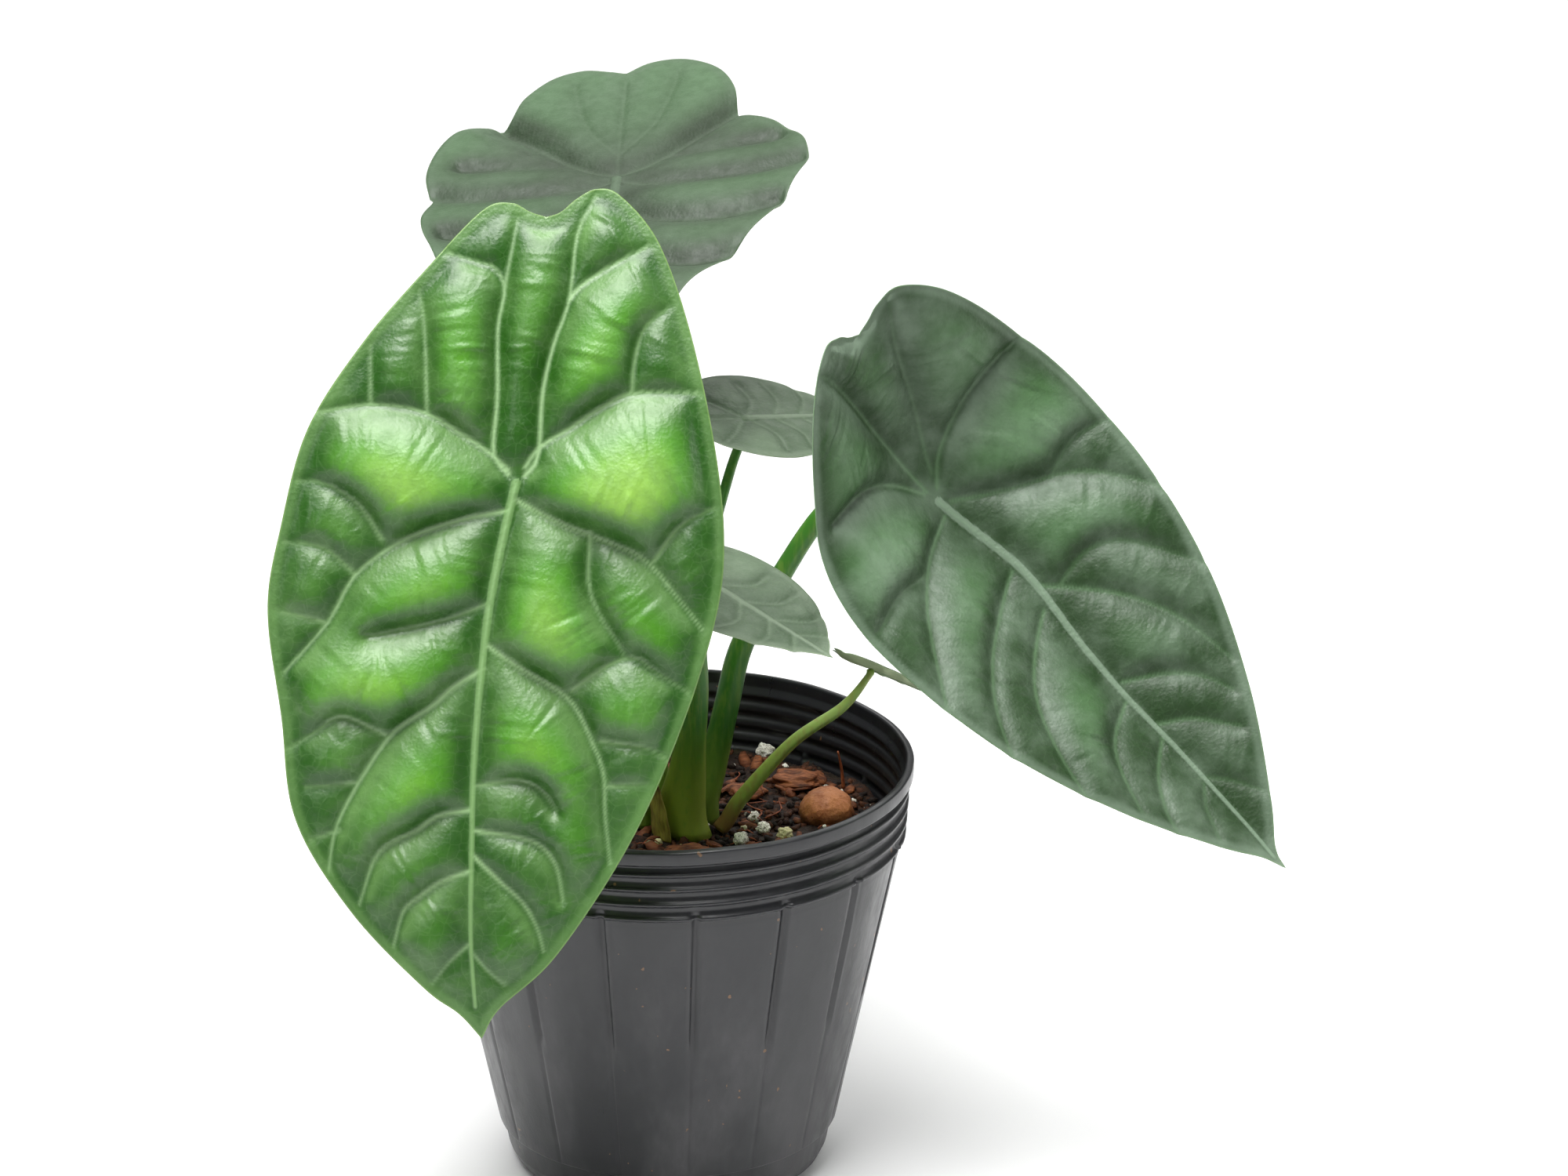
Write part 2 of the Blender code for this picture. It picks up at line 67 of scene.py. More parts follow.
def soft_light(name, place, aim, width, height, power, colour=(1, 1, 1)):
    data = bpy.data.lights.new(name, "AREA")
    data.shape = "RECTANGLE"
    data.size = width
    data.size_y = height
    data.energy = power
    data.color = colour
    lamp = bpy.data.objects.new(name, data)
    scene.collection.objects.link(lamp)
    lamp.location = place
    lamp.rotation_euler = (Vector(aim) - Vector(place)).to_track_quat("-Z", "Y").to_euler()


soft_light("overhead_softbox", (-0.12, -0.22, 1.15), (0.0, -0.02, 0.15), 0.75, 0.65, 23)
soft_light("front_softbox", (-0.75, -1.2, 0.95), (0.0, 0.0, 0.15), 0.5, 0.5, 3)
soft_light("side_softbox", (1.1, 0.1, 0.5), (0.0, 0.0, 0.1), 0.3, 0.9, 3.5)
soft_light("sweep_light", (0, 2.6, 2.6), (0, 2.2, 0), 4.5, 3.0, 95)

world = bpy.data.worlds.new("studio")
world.use_nodes = True
# The sky brightens from the horizon upwards, so waxy leaves mirror a soft gradient.
HORIZON_SHARE = 0.28
FULL_SKY_HEIGHT = 0.75
sky = world.node_tree.nodes["Background"]
sky.inputs["Strength"].default_value = 0.30
heading = world.node_tree.nodes.new("ShaderNodeTexCoord")
split = world.node_tree.nodes.new("ShaderNodeSeparateXYZ")
fade = world.node_tree.nodes.new("ShaderNodeMapRange")
fade.inputs["From Min"].default_value = 0.0
fade.inputs["From Max"].default_value = FULL_SKY_HEIGHT
fade.inputs["To Min"].default_value = HORIZON_SHARE
world.node_tree.links.new(heading.outputs["Generated"], split.inputs[0])
world.node_tree.links.new(split.outputs["Z"], fade.inputs["Value"])
world.node_tree.links.new(fade.outputs[0], sky.inputs["Color"])
scene.world = world

floor_shape = bmesh.new()
bmesh.ops.create_grid(floor_shape, x_segments=1, y_segments=1, size=8)
floor_mesh = bpy.data.meshes.new("floor")
floor_shape.to_mesh(floor_mesh)
floor_shape.free()
floor = bpy.data.objects.new("floor", floor_mesh)
scene.collection.objects.link(floor)
floor_paint = bpy.data.materials.new("matt_white_sweep")
floor_paint.use_nodes = True
floor_paint.node_tree.nodes["Principled BSDF"].inputs["Base Color"].default_value = (0.86, 0.86, 0.86, 1)
floor_paint.node_tree.nodes["Principled BSDF"].inputs["Roughness"].default_value = 0.9
floor_mesh.materials.append(floor_paint)

# ---------------------------------------------------------------- pot
# A thin-walled nursery pot of black polypropylene, injection moulded: a lip, four
# stepped rings under it, sixteen upright flutes that fade half way down, a step above
# the foot and eight drain holes.

MM = 0.001
POT_HEIGHT = 112
LIP_RADIUS = 65
BAND_TOP = 108
BAND_RADIUS = 63.4
RING_PITCH = 4.2
RING_COUNT = 4
WALL_TOP = 89.2
WALL_TOP_RADIUS = 61.2
STEP_HEIGHT = 12
STEP_RADIUS = 44.6
BASE_RADIUS = 38
PLATE_RADIUS = 35
PLATE_UNDER = 0.8
PLATE_TOP = 2.0
WALL = 1.2
DRAIN_RADIUS = 4.5
DRAIN_CIRCLE = 27
DRAIN_COUNT = 8
FLUTE_COUNT = 16
FIRST_FLUTE = math.radians(8 - 90)
FLUTE_END = 51
FLUTE_TOP = 92.5
FLUTE_DEPTH = 1.0
FLUTE_HALF_WIDTH = 0.95
STEPS_PER_FLUTE = 20


def linear(colour):
    """An sRGB hex value such as 1b1c1e as linear red, green, blue and full alpha."""
    parts = [int(colour[i:i + 2], 16) / 255 for i in (0, 2, 4)]
    return (*[c / 12.92 if c < 0.04045 else ((c + 0.055) / 1.055) ** 2.4 for c in parts], 1)


def add(tree, kind, inputs=None, **settings):
    """Add one shader node. inputs gives values or links by socket name or number."""
    made = tree.nodes.new("ShaderNode" + kind)
    for key, value in settings.items():
        setattr(made, key, value)
    for key, value in (inputs or {}).items():
        if isinstance(value, bpy.types.NodeSocket):
            tree.links.new(value, made.inputs[key])
        else:
            made.inputs[key].default_value = value
    return made


def wash(tree, under, over, pattern, low, high, least=0.0, most=1.0):
    """The colour under, covered by over: least where the pattern is low, most where it is high."""
    cover = add(tree, "MapRange", {0: pattern, 1: low, 2: high, 3: least, 4: most},
                interpolation_type="SMOOTHSTEP").outputs[0]
    return add(tree, "Mix", {0: cover, 6: under, 7: over}, data_type="RGBA").outputs[2]


def speckle(tree, place, size, detail=3, rough=0.6, stretch=(1, 1, 1)):
    """Noise whose lumps are about size mm across, and longer where stretch is small."""
    moved = add(tree, "Mapping", {"Vector": place, "Scale": stretch}, vector_type="POINT").outputs[0]
    return add(tree, "TexNoise", {"Vector": moved, "Scale": 1000 / size, "Detail": detail,
                                  "Roughness": rough}).outputs[0]


def finish(name, ior, metallic=0.0, **constants):
    """A material with a Principled shader; constants are its plain sockets by name."""
    mat = bpy.data.materials.new(name)
    mat.use_nodes = True
    shader = mat.node_tree.nodes["Principled BSDF"]
    shader.inputs["IOR"].default_value = ior
    shader.inputs["Metallic"].default_value = metallic
    for key, value in constants.items():
        shader.inputs[key.replace("_", " ")].default_value = value
    return mat, mat.node_tree, shader, add(mat.node_tree, "TexCoord").outputs["Object"]


def set_shader(tree, shader, colour, dullness, height=None, relief=0.1, strength=1.0):
    """Link a colour, a roughness and a bump of height over relief mm.

    dullness is (pattern, low, high, at_low, at_high), or a socket that holds the roughness.
    """
    tree.links.new(colour, shader.inputs["Base Color"])
    if isinstance(dullness, tuple):
        pattern, low, high, at_low, at_high = dullness
        dullness = add(tree, "MapRange", {0: pattern, 1: low, 2: high, 3: at_low, 4: at_high},
                       interpolation_type="SMOOTHSTEP").outputs[0]
    tree.links.new(dullness, shader.inputs["Roughness"])
    if height:
        bump = add(tree, "Bump", {"Height": height, "Distance": relief * MM, "Strength": strength})
        tree.links.new(bump.outputs[0], shader.inputs["Normal"])


def piece(name, shape, mats, slot, *stands_for):
    """Make the bmesh, in mm, a smooth-shaded piece that rides on the plant's body."""
    bmesh.ops.scale(shape, vec=(MM, MM, MM), verts=shape.verts)
    mesh = bpy.data.meshes.new(name)
    shape.to_mesh(mesh)
    shape.free()
    mesh.shade_smooth()
    for mat in mats:
        mesh.materials.append(mat)
    made = bpy.data.objects.new(name, mesh)
    scene.collection.objects.link(made)
    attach(made, "root")
    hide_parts(*stands_for)
    return made


def ease(low, high, value):
    """0 below low, 1 above high, and a smooth rise between."""
    share = min(max((value - low) / (high - low), 0), 1)
    return share * share * (3 - 2 * share)


def eased(corners, cut, longest):
    """A (radius, height) outline with each corner rounded and long runs divided."""
    points = [Vector(corners[0])]
    for before, corner, after in zip(corners, corners[1:], corners[2:]):
        before, corner, after = Vector(before), Vector(corner), Vector(after)
        reach = min(cut, 0.45 * (before - corner).length, 0.45 * (after - corner).length)
        start = corner + (before - corner).normalized() * reach
        end = corner + (after - corner).normalized() * reach
        for share in (0, 0.5, 1):
            points.append(start.lerp(corner, share).lerp(corner.lerp(end, share), share))
    points.append(Vector(corners[-1]))
    outline = [points[0]]
    for point in points[1:]:
        gap = point - outline[-1]
        parts = max(1, math.ceil(gap.length / longest))
        start = outline[-1].copy()
        outline += [start + gap * (i + 1) / parts for i in range(parts)]
    return outline


def pot_outside():
    """The (radius, height) corners from the lip down the outside to the plate's underside."""
    corners = [(LIP_RADIUS - 1.4, POT_HEIGHT), (LIP_RADIUS, POT_HEIGHT - 0.6), (LIP_RADIUS - 0.1, BAND_TOP),
               (BAND_RADIUS - 0.3, BAND_TOP - 0.7)]
    for i in range(RING_COUNT):
        height = BAND_TOP - (i + 0.75) * RING_PITCH
        radius = BAND_RADIUS - 0.35 * (i + 1)
        corners += [(radius - 0.5, height + 1.9), (radius + 0.1, height + 0.7),
                    (radius + 0.75, height + 0.35), (radius + 0.75, height - 0.35),
                    (radius - 0.1, height - 0.7), (radius - 0.6, height - 1.1)]
    corners += [(WALL_TOP_RADIUS, WALL_TOP), (STEP_RADIUS, STEP_HEIGHT),
                (STEP_RADIUS - 1.2, STEP_HEIGHT - 0.5), (STEP_RADIUS - 1.3, STEP_HEIGHT - 1.3),
                (BASE_RADIUS + 4.2, 5), (BASE_RADIUS + 2.6, 1.8), (BASE_RADIUS, 0),
                (PLATE_RADIUS + 1, 0), (PLATE_RADIUS, PLATE_UNDER)]
    return corners


def pot_inside():
    """The (radius, height) corners from the plate's top up the inside to the lip."""
    corners = [(PLATE_RADIUS, PLATE_TOP), (BASE_RADIUS + 2.0 - WALL, 5),
               (STEP_RADIUS - 1.3 - WALL, STEP_HEIGHT - 1), (STEP_RADIUS - WALL, STEP_HEIGHT + 1),
               (WALL_TOP_RADIUS - WALL, WALL_TOP)]
    for i in reversed(range(RING_COUNT)):
        height = BAND_TOP - (i + 0.75) * RING_PITCH
        radius = BAND_RADIUS - 0.35 * (i + 1) - WALL
        corners += [(radius - 0.5, height - 1.2), (radius + 0.2, height - 0.4), (radius + 0.2, height + 0.6),
                    (radius - 0.4, height + 1.6)]
    return corners + [(BAND_RADIUS - WALL - 0.4, BAND_TOP - 0.8), (LIP_RADIUS - 2.3, BAND_TOP + 0.6),
                      (LIP_RADIUS - 2.1, POT_HEIGHT - 0.5), (LIP_RADIUS - 1.4, POT_HEIGHT)]


def fluted(place):
    """Press the flutes into the wall, and let the thin rim wander a little.

    Points are first drawn towards the flutes, which need them. Above FLUTE_END a flute is a
    groove with a raised right lip that flares at the top; below it, only a fine line.
    """
    radius = math.hypot(place.x, place.y)
    if radius < PLATE_RADIUS + 1.5:
        return place
    pitch = math.tau / FLUTE_COUNT
    turn = math.atan2(place.y, place.x)
    sector = (turn - FIRST_FLUTE + pitch / 2) % pitch - pitch / 2
    nearer = math.copysign(0.5 * abs(2 * sector / pitch) ** 1.8 * pitch, sector)
    turn += nearer - sector
    across = nearer * radius
    height = place.z
    upper = ease(FLUTE_END - 1.5, FLUTE_END + 1.5, height) * (1 - ease(FLUTE_TOP, FLUTE_TOP + 1.5, height))
    lower = ease(STEP_HEIGHT, STEP_HEIGHT + 3, height) * (1 - ease(FLUTE_END - 2, FLUTE_END, height))
    flare = ease(74, 89, height) * upper
    groove = FLUTE_DEPTH * math.exp(-(across / FLUTE_HALF_WIDTH) ** 4)
    groove += 0.22 * flare * math.exp(-((across - 1.6) / 1.6) ** 2)
    radius -= upper * groove
    radius += upper * 0.3 * math.exp(-((across - 1.35) / 0.45) ** 2)
    radius -= 0.28 * lower * math.exp(-((across + 0.4) / 0.45) ** 2)
    rim = ease(100, POT_HEIGHT, height)
    wander = Vector((math.cos(turn) * 1.6, math.sin(turn) * 1.6, 0))
    radius += rim * 0.7 * noise.noise(wander) + 0.12 * noise.noise(Vector((turn * 9, height / 17, 3)))
    height += rim * 0.35 * noise.noise(wander * 2 + Vector((0, 0, 7)))
    return Vector((radius * math.cos(turn), radius * math.sin(turn), height))


def drain_circles(shape, height):
    """The eight hole outlines at one height, each as its list of edges."""
    loops = []
    for i in range(DRAIN_COUNT):
        turn = math.tau * i / DRAIN_COUNT
        place = Matrix.Translation((DRAIN_CIRCLE * math.cos(turn), DRAIN_CIRCLE * math.sin(turn), height))
        ring = bmesh.ops.create_circle(shape, cap_ends=False, segments=20, radius=DRAIN_RADIUS, matrix=place)
        loops.append(list({edge for vert in ring["verts"] for edge in vert.link_edges}))
    return loops


pot_shape = bmesh.new()
outline = eased(pot_inside() + pot_outside()[1:], 0.35, 3.5)
profile = [pot_shape.verts.new((point.x, 0, point.y)) for point in outline]
runs = [pot_shape.edges.new(pair) for pair in zip(profile, profile[1:])]
bmesh.ops.spin(pot_shape, geom=profile + runs, cent=(0, 0, 0), axis=(0, 0, 1), angle=math.tau,
               steps=FLUTE_COUNT * STEPS_PER_FLUTE, use_merge=True, use_duplicate=False)
for vert in pot_shape.verts:
    vert.co = fluted(vert.co)
open_edges = [edge for edge in pot_shape.edges if edge.is_boundary]
holes = []
for level, plate_height in enumerate((PLATE_UNDER, PLATE_TOP)):
    holes.append(drain_circles(pot_shape, plate_height))
    edge_of_plate = [edge for edge in open_edges if abs(edge.verts[0].co.z - plate_height) < 0.1]
    around = [edge for loop in holes[level] for edge in loop]
    bmesh.ops.triangle_fill(pot_shape, use_beauty=True, edges=edge_of_plate + around)
for under, top in zip(*holes):
    bmesh.ops.bridge_loops(pot_shape, edges=under + top)
bmesh.ops.recalc_face_normals(pot_shape, faces=pot_shape.faces)

# Injection-moulded black polypropylene: a soft satin sheen, dulled by dried water marks and dust in patches,
# a grey that rises towards the foot as a painted reflection of the pale floor, and a few specks of mud.
pot_mat, tree, shader, place = finish("moulded_black_polypropylene", 1.49)
height = add(tree, "SeparateXYZ", {0: place}).outputs[2]
film = speckle(tree, place, 26, 4, 0.6, (1, 1, 0.45))
scuffs = speckle(tree, place, 5, 5, 0.7, (1, 1, 0.35))
grit = speckle(tree, place, 0.9, 2, 0.5)
# The mark by height greys the wall more towards its foot: a painted reflection of the pale floor, laid over
# the real dust.
dust_and_reflection_marks = {"film": (film, 0.38, 0.72, 0, 1), "scuffs": (scuffs, 0.35, 0.8, 0.45, 1),
              "painted_floor_reflection": (height, 0.095, 0.03, 0.25, 1)}
dust_and_reflection_masks = {name: add(tree, "MapRange", dict(zip(range(5), marks)), interpolation_type="SMOOTHSTEP").outputs[0]
        for name, marks in dust_and_reflection_marks.items()}
dust_high = add(tree, "Math", {0: dust_and_reflection_masks["film"], 1: dust_and_reflection_masks["scuffs"]}, operation="MULTIPLY").outputs[0]
dust_with_floor_reflection = add(tree, "Math", {0: dust_high, 1: dust_and_reflection_masks["painted_floor_reflection"]}, operation="MULTIPLY").outputs[0]
plastic = add(tree, "Mix", {0: dust_with_floor_reflection, 6: linear("1d1e21"), 7: linear("4b4a4c")},
              data_type="RGBA").outputs[2]
plastic = wash(tree, plastic, linear("6d5138"), speckle(tree, place, 2.6, 2, 0.4), 0.745, 0.765)
satin = add(tree, "MapRange", {0: scuffs, 1: 0.3, 2: 0.75, 3: 0.27, 4: 0.44},
            interpolation_type="SMOOTHSTEP").outputs[0]
gloss = add(tree, "Math", {0: dust_with_floor_reflection, 1: 0.22, 2: satin}, operation="MULTIPLY_ADD").outputs[0]
wear = add(tree, "Math", {0: grit, 1: 0.35, 2: scuffs}, operation="MULTIPLY_ADD").outputs[0]
set_shader(tree, shader, plastic, gloss, wear, relief=0.12, strength=0.5)
piece("moulded_pot", pot_shape, [pot_mat], "pot_plastic", "pot")

# ---------------------------------------------------------------- potting mix
# Damp peat and coco husk that fills the pot to 20 mm under its lip: a lumpy bed with
# crumbs, husk flakes, small perlite and hair-fine coir lying on it. STEMS are the
# (x, y, radius) circles that the strewn pieces keep off.

SOIL_TOP = 91.2
SOIL_EDGE = 59.4
MOUND_HEIGHT = 1.6
MOUND_REACH = 22
CRUMB_COUNT = 1500
FLAKE_COUNT = 130
GRAIN_COUNT = 60
HAIR_COUNT = 70


def soil_height(x, y):
    """The bed's uneven top, with a low mound round the stems."""
    lumps = 2.2 * noise.noise(Vector((x / 11, y / 11, 0))) + 1.1 * noise.noise(Vector((x / 4, y / 4, 5)))
    return SOIL_TOP + lumps + MOUND_HEIGHT * math.exp(-((x - 3) ** 2 + (y - 3) ** 2) / MOUND_REACH ** 2)


def spots(count, draws, reach, keep_off=()):
    """Places strewn evenly over the bed, clear of the listed (x, y, radius) stems."""
    made = []
    while len(made) < count:
        turn = draws.uniform(0, math.tau)
        out = reach * math.sqrt(draws.uniform(0, 1))
        x, y = out * math.cos(turn), out * math.sin(turn)
        if all(math.hypot(x - a, y - b) > r for a, b, r in keep_off):
            made.append((x, y))
    return made


STEMS = ((4, -5, 6.5), (10, 4, 5), (-3, 7, 4.5), (3, 13, 3), (-6, 0, 3.2), (14, -2, 3))
draws = np.random.default_rng(7)

bed_shape = bmesh.new()
outline = [(0, SOIL_TOP)] + [(SOIL_EDGE * i / 36, SOIL_TOP) for i in range(1, 37)]
outline += [(SOIL_EDGE - 0.5, SOIL_TOP - 4), (STEP_RADIUS - WALL - 0.9, STEP_HEIGHT + 1),
            (STEP_RADIUS - 2.9, STEP_HEIGHT - 1), (BASE_RADIUS + 0.4, 5), (PLATE_RADIUS - 1, PLATE_TOP + 0.4),
            (0, PLATE_TOP + 0.4)]
profile = [bed_shape.verts.new((r, 0, z)) for r, z in outline]
runs = [bed_shape.edges.new(pair) for pair in zip(profile, profile[1:])]
bmesh.ops.spin(bed_shape, geom=profile + runs, cent=(0, 0, 0), axis=(0, 0, 1), angle=math.tau, steps=150,
               use_merge=True, use_duplicate=False)
bmesh.ops.remove_doubles(bed_shape, verts=bed_shape.verts, dist=0.001)
for vert in bed_shape.verts:
    if vert.co.z > SOIL_TOP - 0.1:
        vert.co.z = soil_height(vert.co.x, vert.co.y)
bmesh.ops.recalc_face_normals(bed_shape, faces=bed_shape.faces)

# Damp sphagnum peat: almost black where wet, warm brown where it has dried, matt.
peat_mat, tree, shader, place = finish("damp_peat", 1.4)
wet = speckle(tree, place, 9, 4, 0.6)
bits = speckle(tree, place, 1.6, 4, 0.7)
moss = speckle(tree, place, 21, 2, 0.5)
peat = wash(tree, linear("140c07"), linear("4a2b17"), bits, 0.35, 0.7)
peat = wash(tree, peat, linear("1c110a"), wet, 0.4, 0.65)
peat = wash(tree, peat, linear("3c4012"), moss, 0.56, 0.68, 0, 0.5)
set_shader(tree, shader, peat, (wet, 0.3, 0.7, 0.95, 0.55), bits, relief=1.2, strength=0.9)
piece("peat_bed", bed_shape, [peat_mat], "potting_mix", "potting_mix")


def scatter(name, mat, slot, places, detail, half_sizes, rough, lift=0.2, stands_for=()):
    """Strew small broken lumps on the bed, each turned and sized by the draws."""
    shape = bmesh.new()
    tone = shape.verts.layers.float.new("tone")
    for x, y in places:
        half = [draws.uniform(*limits) for limits in half_sizes]
        tip = Matrix.Rotation(draws.uniform(-0.5, 0.5), 4, "X")
        tip @= Matrix.Rotation(draws.uniform(-0.5, 0.5), 4, "Y")
        spin = Matrix.Rotation(draws.uniform(0, math.tau), 4, "Z")
        shade, seed = draws.uniform(0, 1), draws.uniform(0, 90)
        lump = bmesh.ops.create_icosphere(shape, subdivisions=detail, radius=1)["verts"]
        sits = Matrix.Translation((x, y, soil_height(x, y) + half[2] * lift)) @ tip @ spin
        for vert in lump:
            vert.co *= 1 + rough * noise.noise(vert.co * 1.9 + Vector((seed, 0, 0)))
            vert.co = sits @ Vector((vert.co.x * half[0], vert.co.y * half[1], vert.co.z * half[2]))
            vert[tone] = shade
    return piece(name, shape, [mat], slot, *stands_for)


# Crumbs of peat and bark dust, each its own shade from near black to fox brown.
crumb_mat, tree, shader, place = finish("peat_crumbs", 1.4)
tone = add(tree, "Attribute", attribute_name="tone").outputs["Fac"]
bits = speckle(tree, place, 0.8, 3, 0.6)
crumb = wash(tree, linear("160d08"), linear("5b3219"), tone, 0.35, 1.0)
crumb = wash(tree, crumb, linear("2a180d"), bits, 0.4, 0.7, 0, 0.5)
set_shader(tree, shader, crumb, (bits, 0.2, 0.8, 0.95, 0.65), bits, relief=0.5, strength=0.8)
scatter("peat_crumbs", crumb_mat, "potting_mix", spots(CRUMB_COUNT, draws, SOIL_EDGE - 1.5, STEMS), 1,
        ((0.7, 2.1), (0.6, 1.6), (0.5, 1.2)), 0.7)

# Flakes of coconut husk: torn across the grain, fibrous and orange brown.
husk_mat, tree, shader, place = finish("coconut_husk", 1.45)
tone = add(tree, "Attribute", attribute_name="tone").outputs["Fac"]
grain = speckle(tree, place, 1.1, 4, 0.6, (0.25, 1, 0.6))
spots_dark = speckle(tree, place, 4, 3, 0.6)
husk = wash(tree, linear("4a2412"), linear("9a5a30"), grain, 0.3, 0.7)
husk = wash(tree, husk, linear("6b371d"), tone, 0.2, 1, 0, 0.65)
husk = wash(tree, husk, linear("2a150b"), spots_dark, 0.5, 0.75, 0, 0.8)
set_shader(tree, shader, husk, (grain, 0.3, 0.8, 0.85, 0.55), grain, relief=0.5, strength=0.9)
scatter("husk_flakes", husk_mat, "coir_husk", spots(FLAKE_COUNT, draws, SOIL_EDGE - 4, STEMS), 1,
        ((2.2, 4.6), (1.2, 2.3), (0.35, 0.8)), 0.6, lift=0.9)

# Expanded volcanic glass: chalk white with pinholes, some grains stained yellow.
perlite_mat, tree, shader, place = finish("perlite", 1.5)
tone = add(tree, "Attribute", attribute_name="tone").outputs["Fac"]
pits = add(tree, "TexVoronoi", {"Vector": place, "Scale": 1000 / 0.55}).outputs["Distance"]
stain = speckle(tree, place, 3, 3, 0.6)
# The pinholes are darker: a painted shade in them.
chalk = wash(tree, linear("8f8670"), linear("f0ece0"), pits, 0.1, 0.45)
chalk = wash(tree, chalk, linear("d9cf7a"), tone, 0.62, 0.8, 0, 0.8)
chalk = wash(tree, chalk, linear("7d6a4a"), stain, 0.52, 0.72, 0, 0.6)
set_shader(tree, shader, chalk, (pits, 0, 0.5, 0.95, 0.8), pits, relief=0.35, strength=0.8)
scatter("small_perlite", perlite_mat, "perlite", spots(GRAIN_COUNT, draws, SOIL_EDGE - 3, STEMS), 2,
        ((0.6, 1.3), (0.5, 1.1), (0.5, 1.0)), 0.5, lift=0.6)

# ---------------------------------------------------------------- large loose pieces
# The clay ball, the seven big perlite grains and the six husk chips lie where the
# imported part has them, each swollen from a ball and then pitted or torn.

BIG_PERLITE_COUNT = 7
STAINED_GRAIN = 3
HUSK_CHIP_COUNT = 6


def loose(node, name, mat, slot, detail, rough, grain, shade=0.3):
    """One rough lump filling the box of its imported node."""
    low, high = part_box(node)
    centre, half = (low + high) / 2 / MM, (high - low) / 2 / MM
    shape = bmesh.new()
    tone = shape.verts.layers.float.new("tone")
    bmesh.ops.create_icosphere(shape, subdivisions=detail, radius=1)
    for vert in shape.verts:
        where = vert.co * 1.7 + centre
        swell = 1 + rough * noise.noise(where) + 0.35 * rough * noise.noise(where * grain)
        vert.co = Vector((vert.co.x * half.x, vert.co.y * half.y, vert.co.z * half.z)) * swell * 0.97
        vert.co += centre
        vert[tone] = shade
    return piece(name, shape, [mat], slot, node)


for number in range(1, BIG_PERLITE_COUNT + 1):
    loose(f"perlite_{number}", f"perlite_grain_{number}", perlite_mat, "perlite", 4, 0.3, 4.3,
          shade=0.75 if number == STAINED_GRAIN else 0.3)
for number in range(1, HUSK_CHIP_COUNT + 1):
    loose(f"husk_chip_{number}", f"coco_chip_{number}", husk_mat, "coir_husk", 4, 0.35, 3.1,
          shade=0.15 * number)

# Fired clay ball: orange brown and porous, darker towards its foot.
clay_mat, tree, shader, place = finish("fired_clay", 1.5, Coat_Weight=0.15, Coat_Roughness=0.35)
height = add(tree, "SeparateXYZ", {0: place}).outputs[2]
pores = speckle(tree, place, 0.7, 4, 0.7)
cloud = speckle(tree, place, 6, 3, 0.6)
clay = wash(tree, linear("c97f4c"), linear("a0572b"), cloud, 0.35, 0.68)
clay = wash(tree, clay, linear("5a2a14"), pores, 0.55, 0.75, 0, 0.7)
clay = wash(tree, clay, linear("3b1e10"), height, 0.097, 0.092, 0, 0.8)
set_shader(tree, shader, clay, (pores, 0.3, 0.7, 0.55, 0.8), pores, relief=0.4, strength=0.7)
loose("clay_pebble", "clay_ball", clay_mat, "clay_pebble", 5, 0.10, 5.0)

# ---------------------------------------------------------------- coir fibres
# Two stiff red-brown fibres that stand out of the mix, and many finer ones that lie
# on it. Each is a thin round thread, drawn out to a point.


def smooth_line(points, count):
    """A smooth curve through the points, read at equal steps of its length."""
    pts = np.array(points, float)
    ends = np.vstack([2 * pts[0] - pts[1], pts, 2 * pts[-1] - pts[-2]])
    fine = [pts[0]]
    for i in range(1, len(ends) - 2):
        a, b, c, d = ends[i - 1:i + 3]
        for t in np.linspace(0, 1, 17)[1:]:
            fine.append(0.5 * (2 * b + (c - a) * t + (2 * a - 5 * b + 4 * c - d) * t ** 2
                               + (3 * b - a - 3 * c + d) * t ** 3))
    fine = np.array(fine)
    length = np.concatenate([[0], np.cumsum(np.linalg.norm(np.diff(fine, axis=0), axis=1))])
    wanted = np.linspace(0, length[-1], count)
    return np.column_stack([np.interp(wanted, length, fine[:, k]) for k in range(pts.shape[1])])


def sweep(shape, route, count, sides, size_at):
    """Wrap a grid round a smooth route as a closed stalk, its skin size_at(share, turn) mm out."""
    line = smooth_line(route, count)
    ways = np.gradient(line, axis=0)
    side = Vector((1, 0, 0))
    frames = []
    for spot, way in zip(line, ways):
        way = Vector(way).normalized()
        side = (side - way * side.dot(way)).normalized()
        frames.append((Vector(spot), side, way.cross(side)))
    along = shape.verts.layers.float.get("along") or shape.verts.layers.float.new("along")
    grid = bmesh.ops.create_grid(shape, x_segments=sides, y_segments=count + 1, size=1)["verts"]
    for vert in grid:
        turn = (vert.co.x + 1) * math.pi
        row = round((vert.co.y + 1) / 2 * (count + 1))
        station = min(max(row - 1, 0), count - 1)
        share = station / (count - 1)
        spot, right, up = frames[station]
        out = 0 if row in (0, count + 1) else size_at(share, turn)
        vert.co = spot + (right * math.cos(turn) + up * math.sin(turn)) * out
        vert[along] = share
    bmesh.ops.remove_doubles(shape, verts=grid, dist=0.0005)


# Coir: tanned coconut fibre, red brown with a dull shine.
coir_mat, tree, shader, place = finish("coir_fibre", 1.5)
streak = speckle(tree, place, 1.5, 3, 0.6, (1, 1, 0.3))
coir = wash(tree, linear("5f2c16"), linear("a4552c"), streak, 0.3, 0.7)
set_shader(tree, shader, coir, (streak, 0.3, 0.7, 0.5, 0.75), streak, relief=0.1)
for number, route in ((1, [(46.5, 22, 94), (46, 22.5, 99), (45, 22, 104.5)]),
                      (2, [(-30, 34, 94), (-33, 36, 98), (-34, 39, 102)])):
    fibre_shape = bmesh.new()
    sweep(fibre_shape, route, 16, 8, lambda share, turn: 0.55 * (1 - 0.6 * share))
    bmesh.ops.recalc_face_normals(fibre_shape, faces=fibre_shape.faces)
    piece(f"standing_fibre_{number}", fibre_shape, [coir_mat], "coir_husk", f"coir_fibre_{number}")

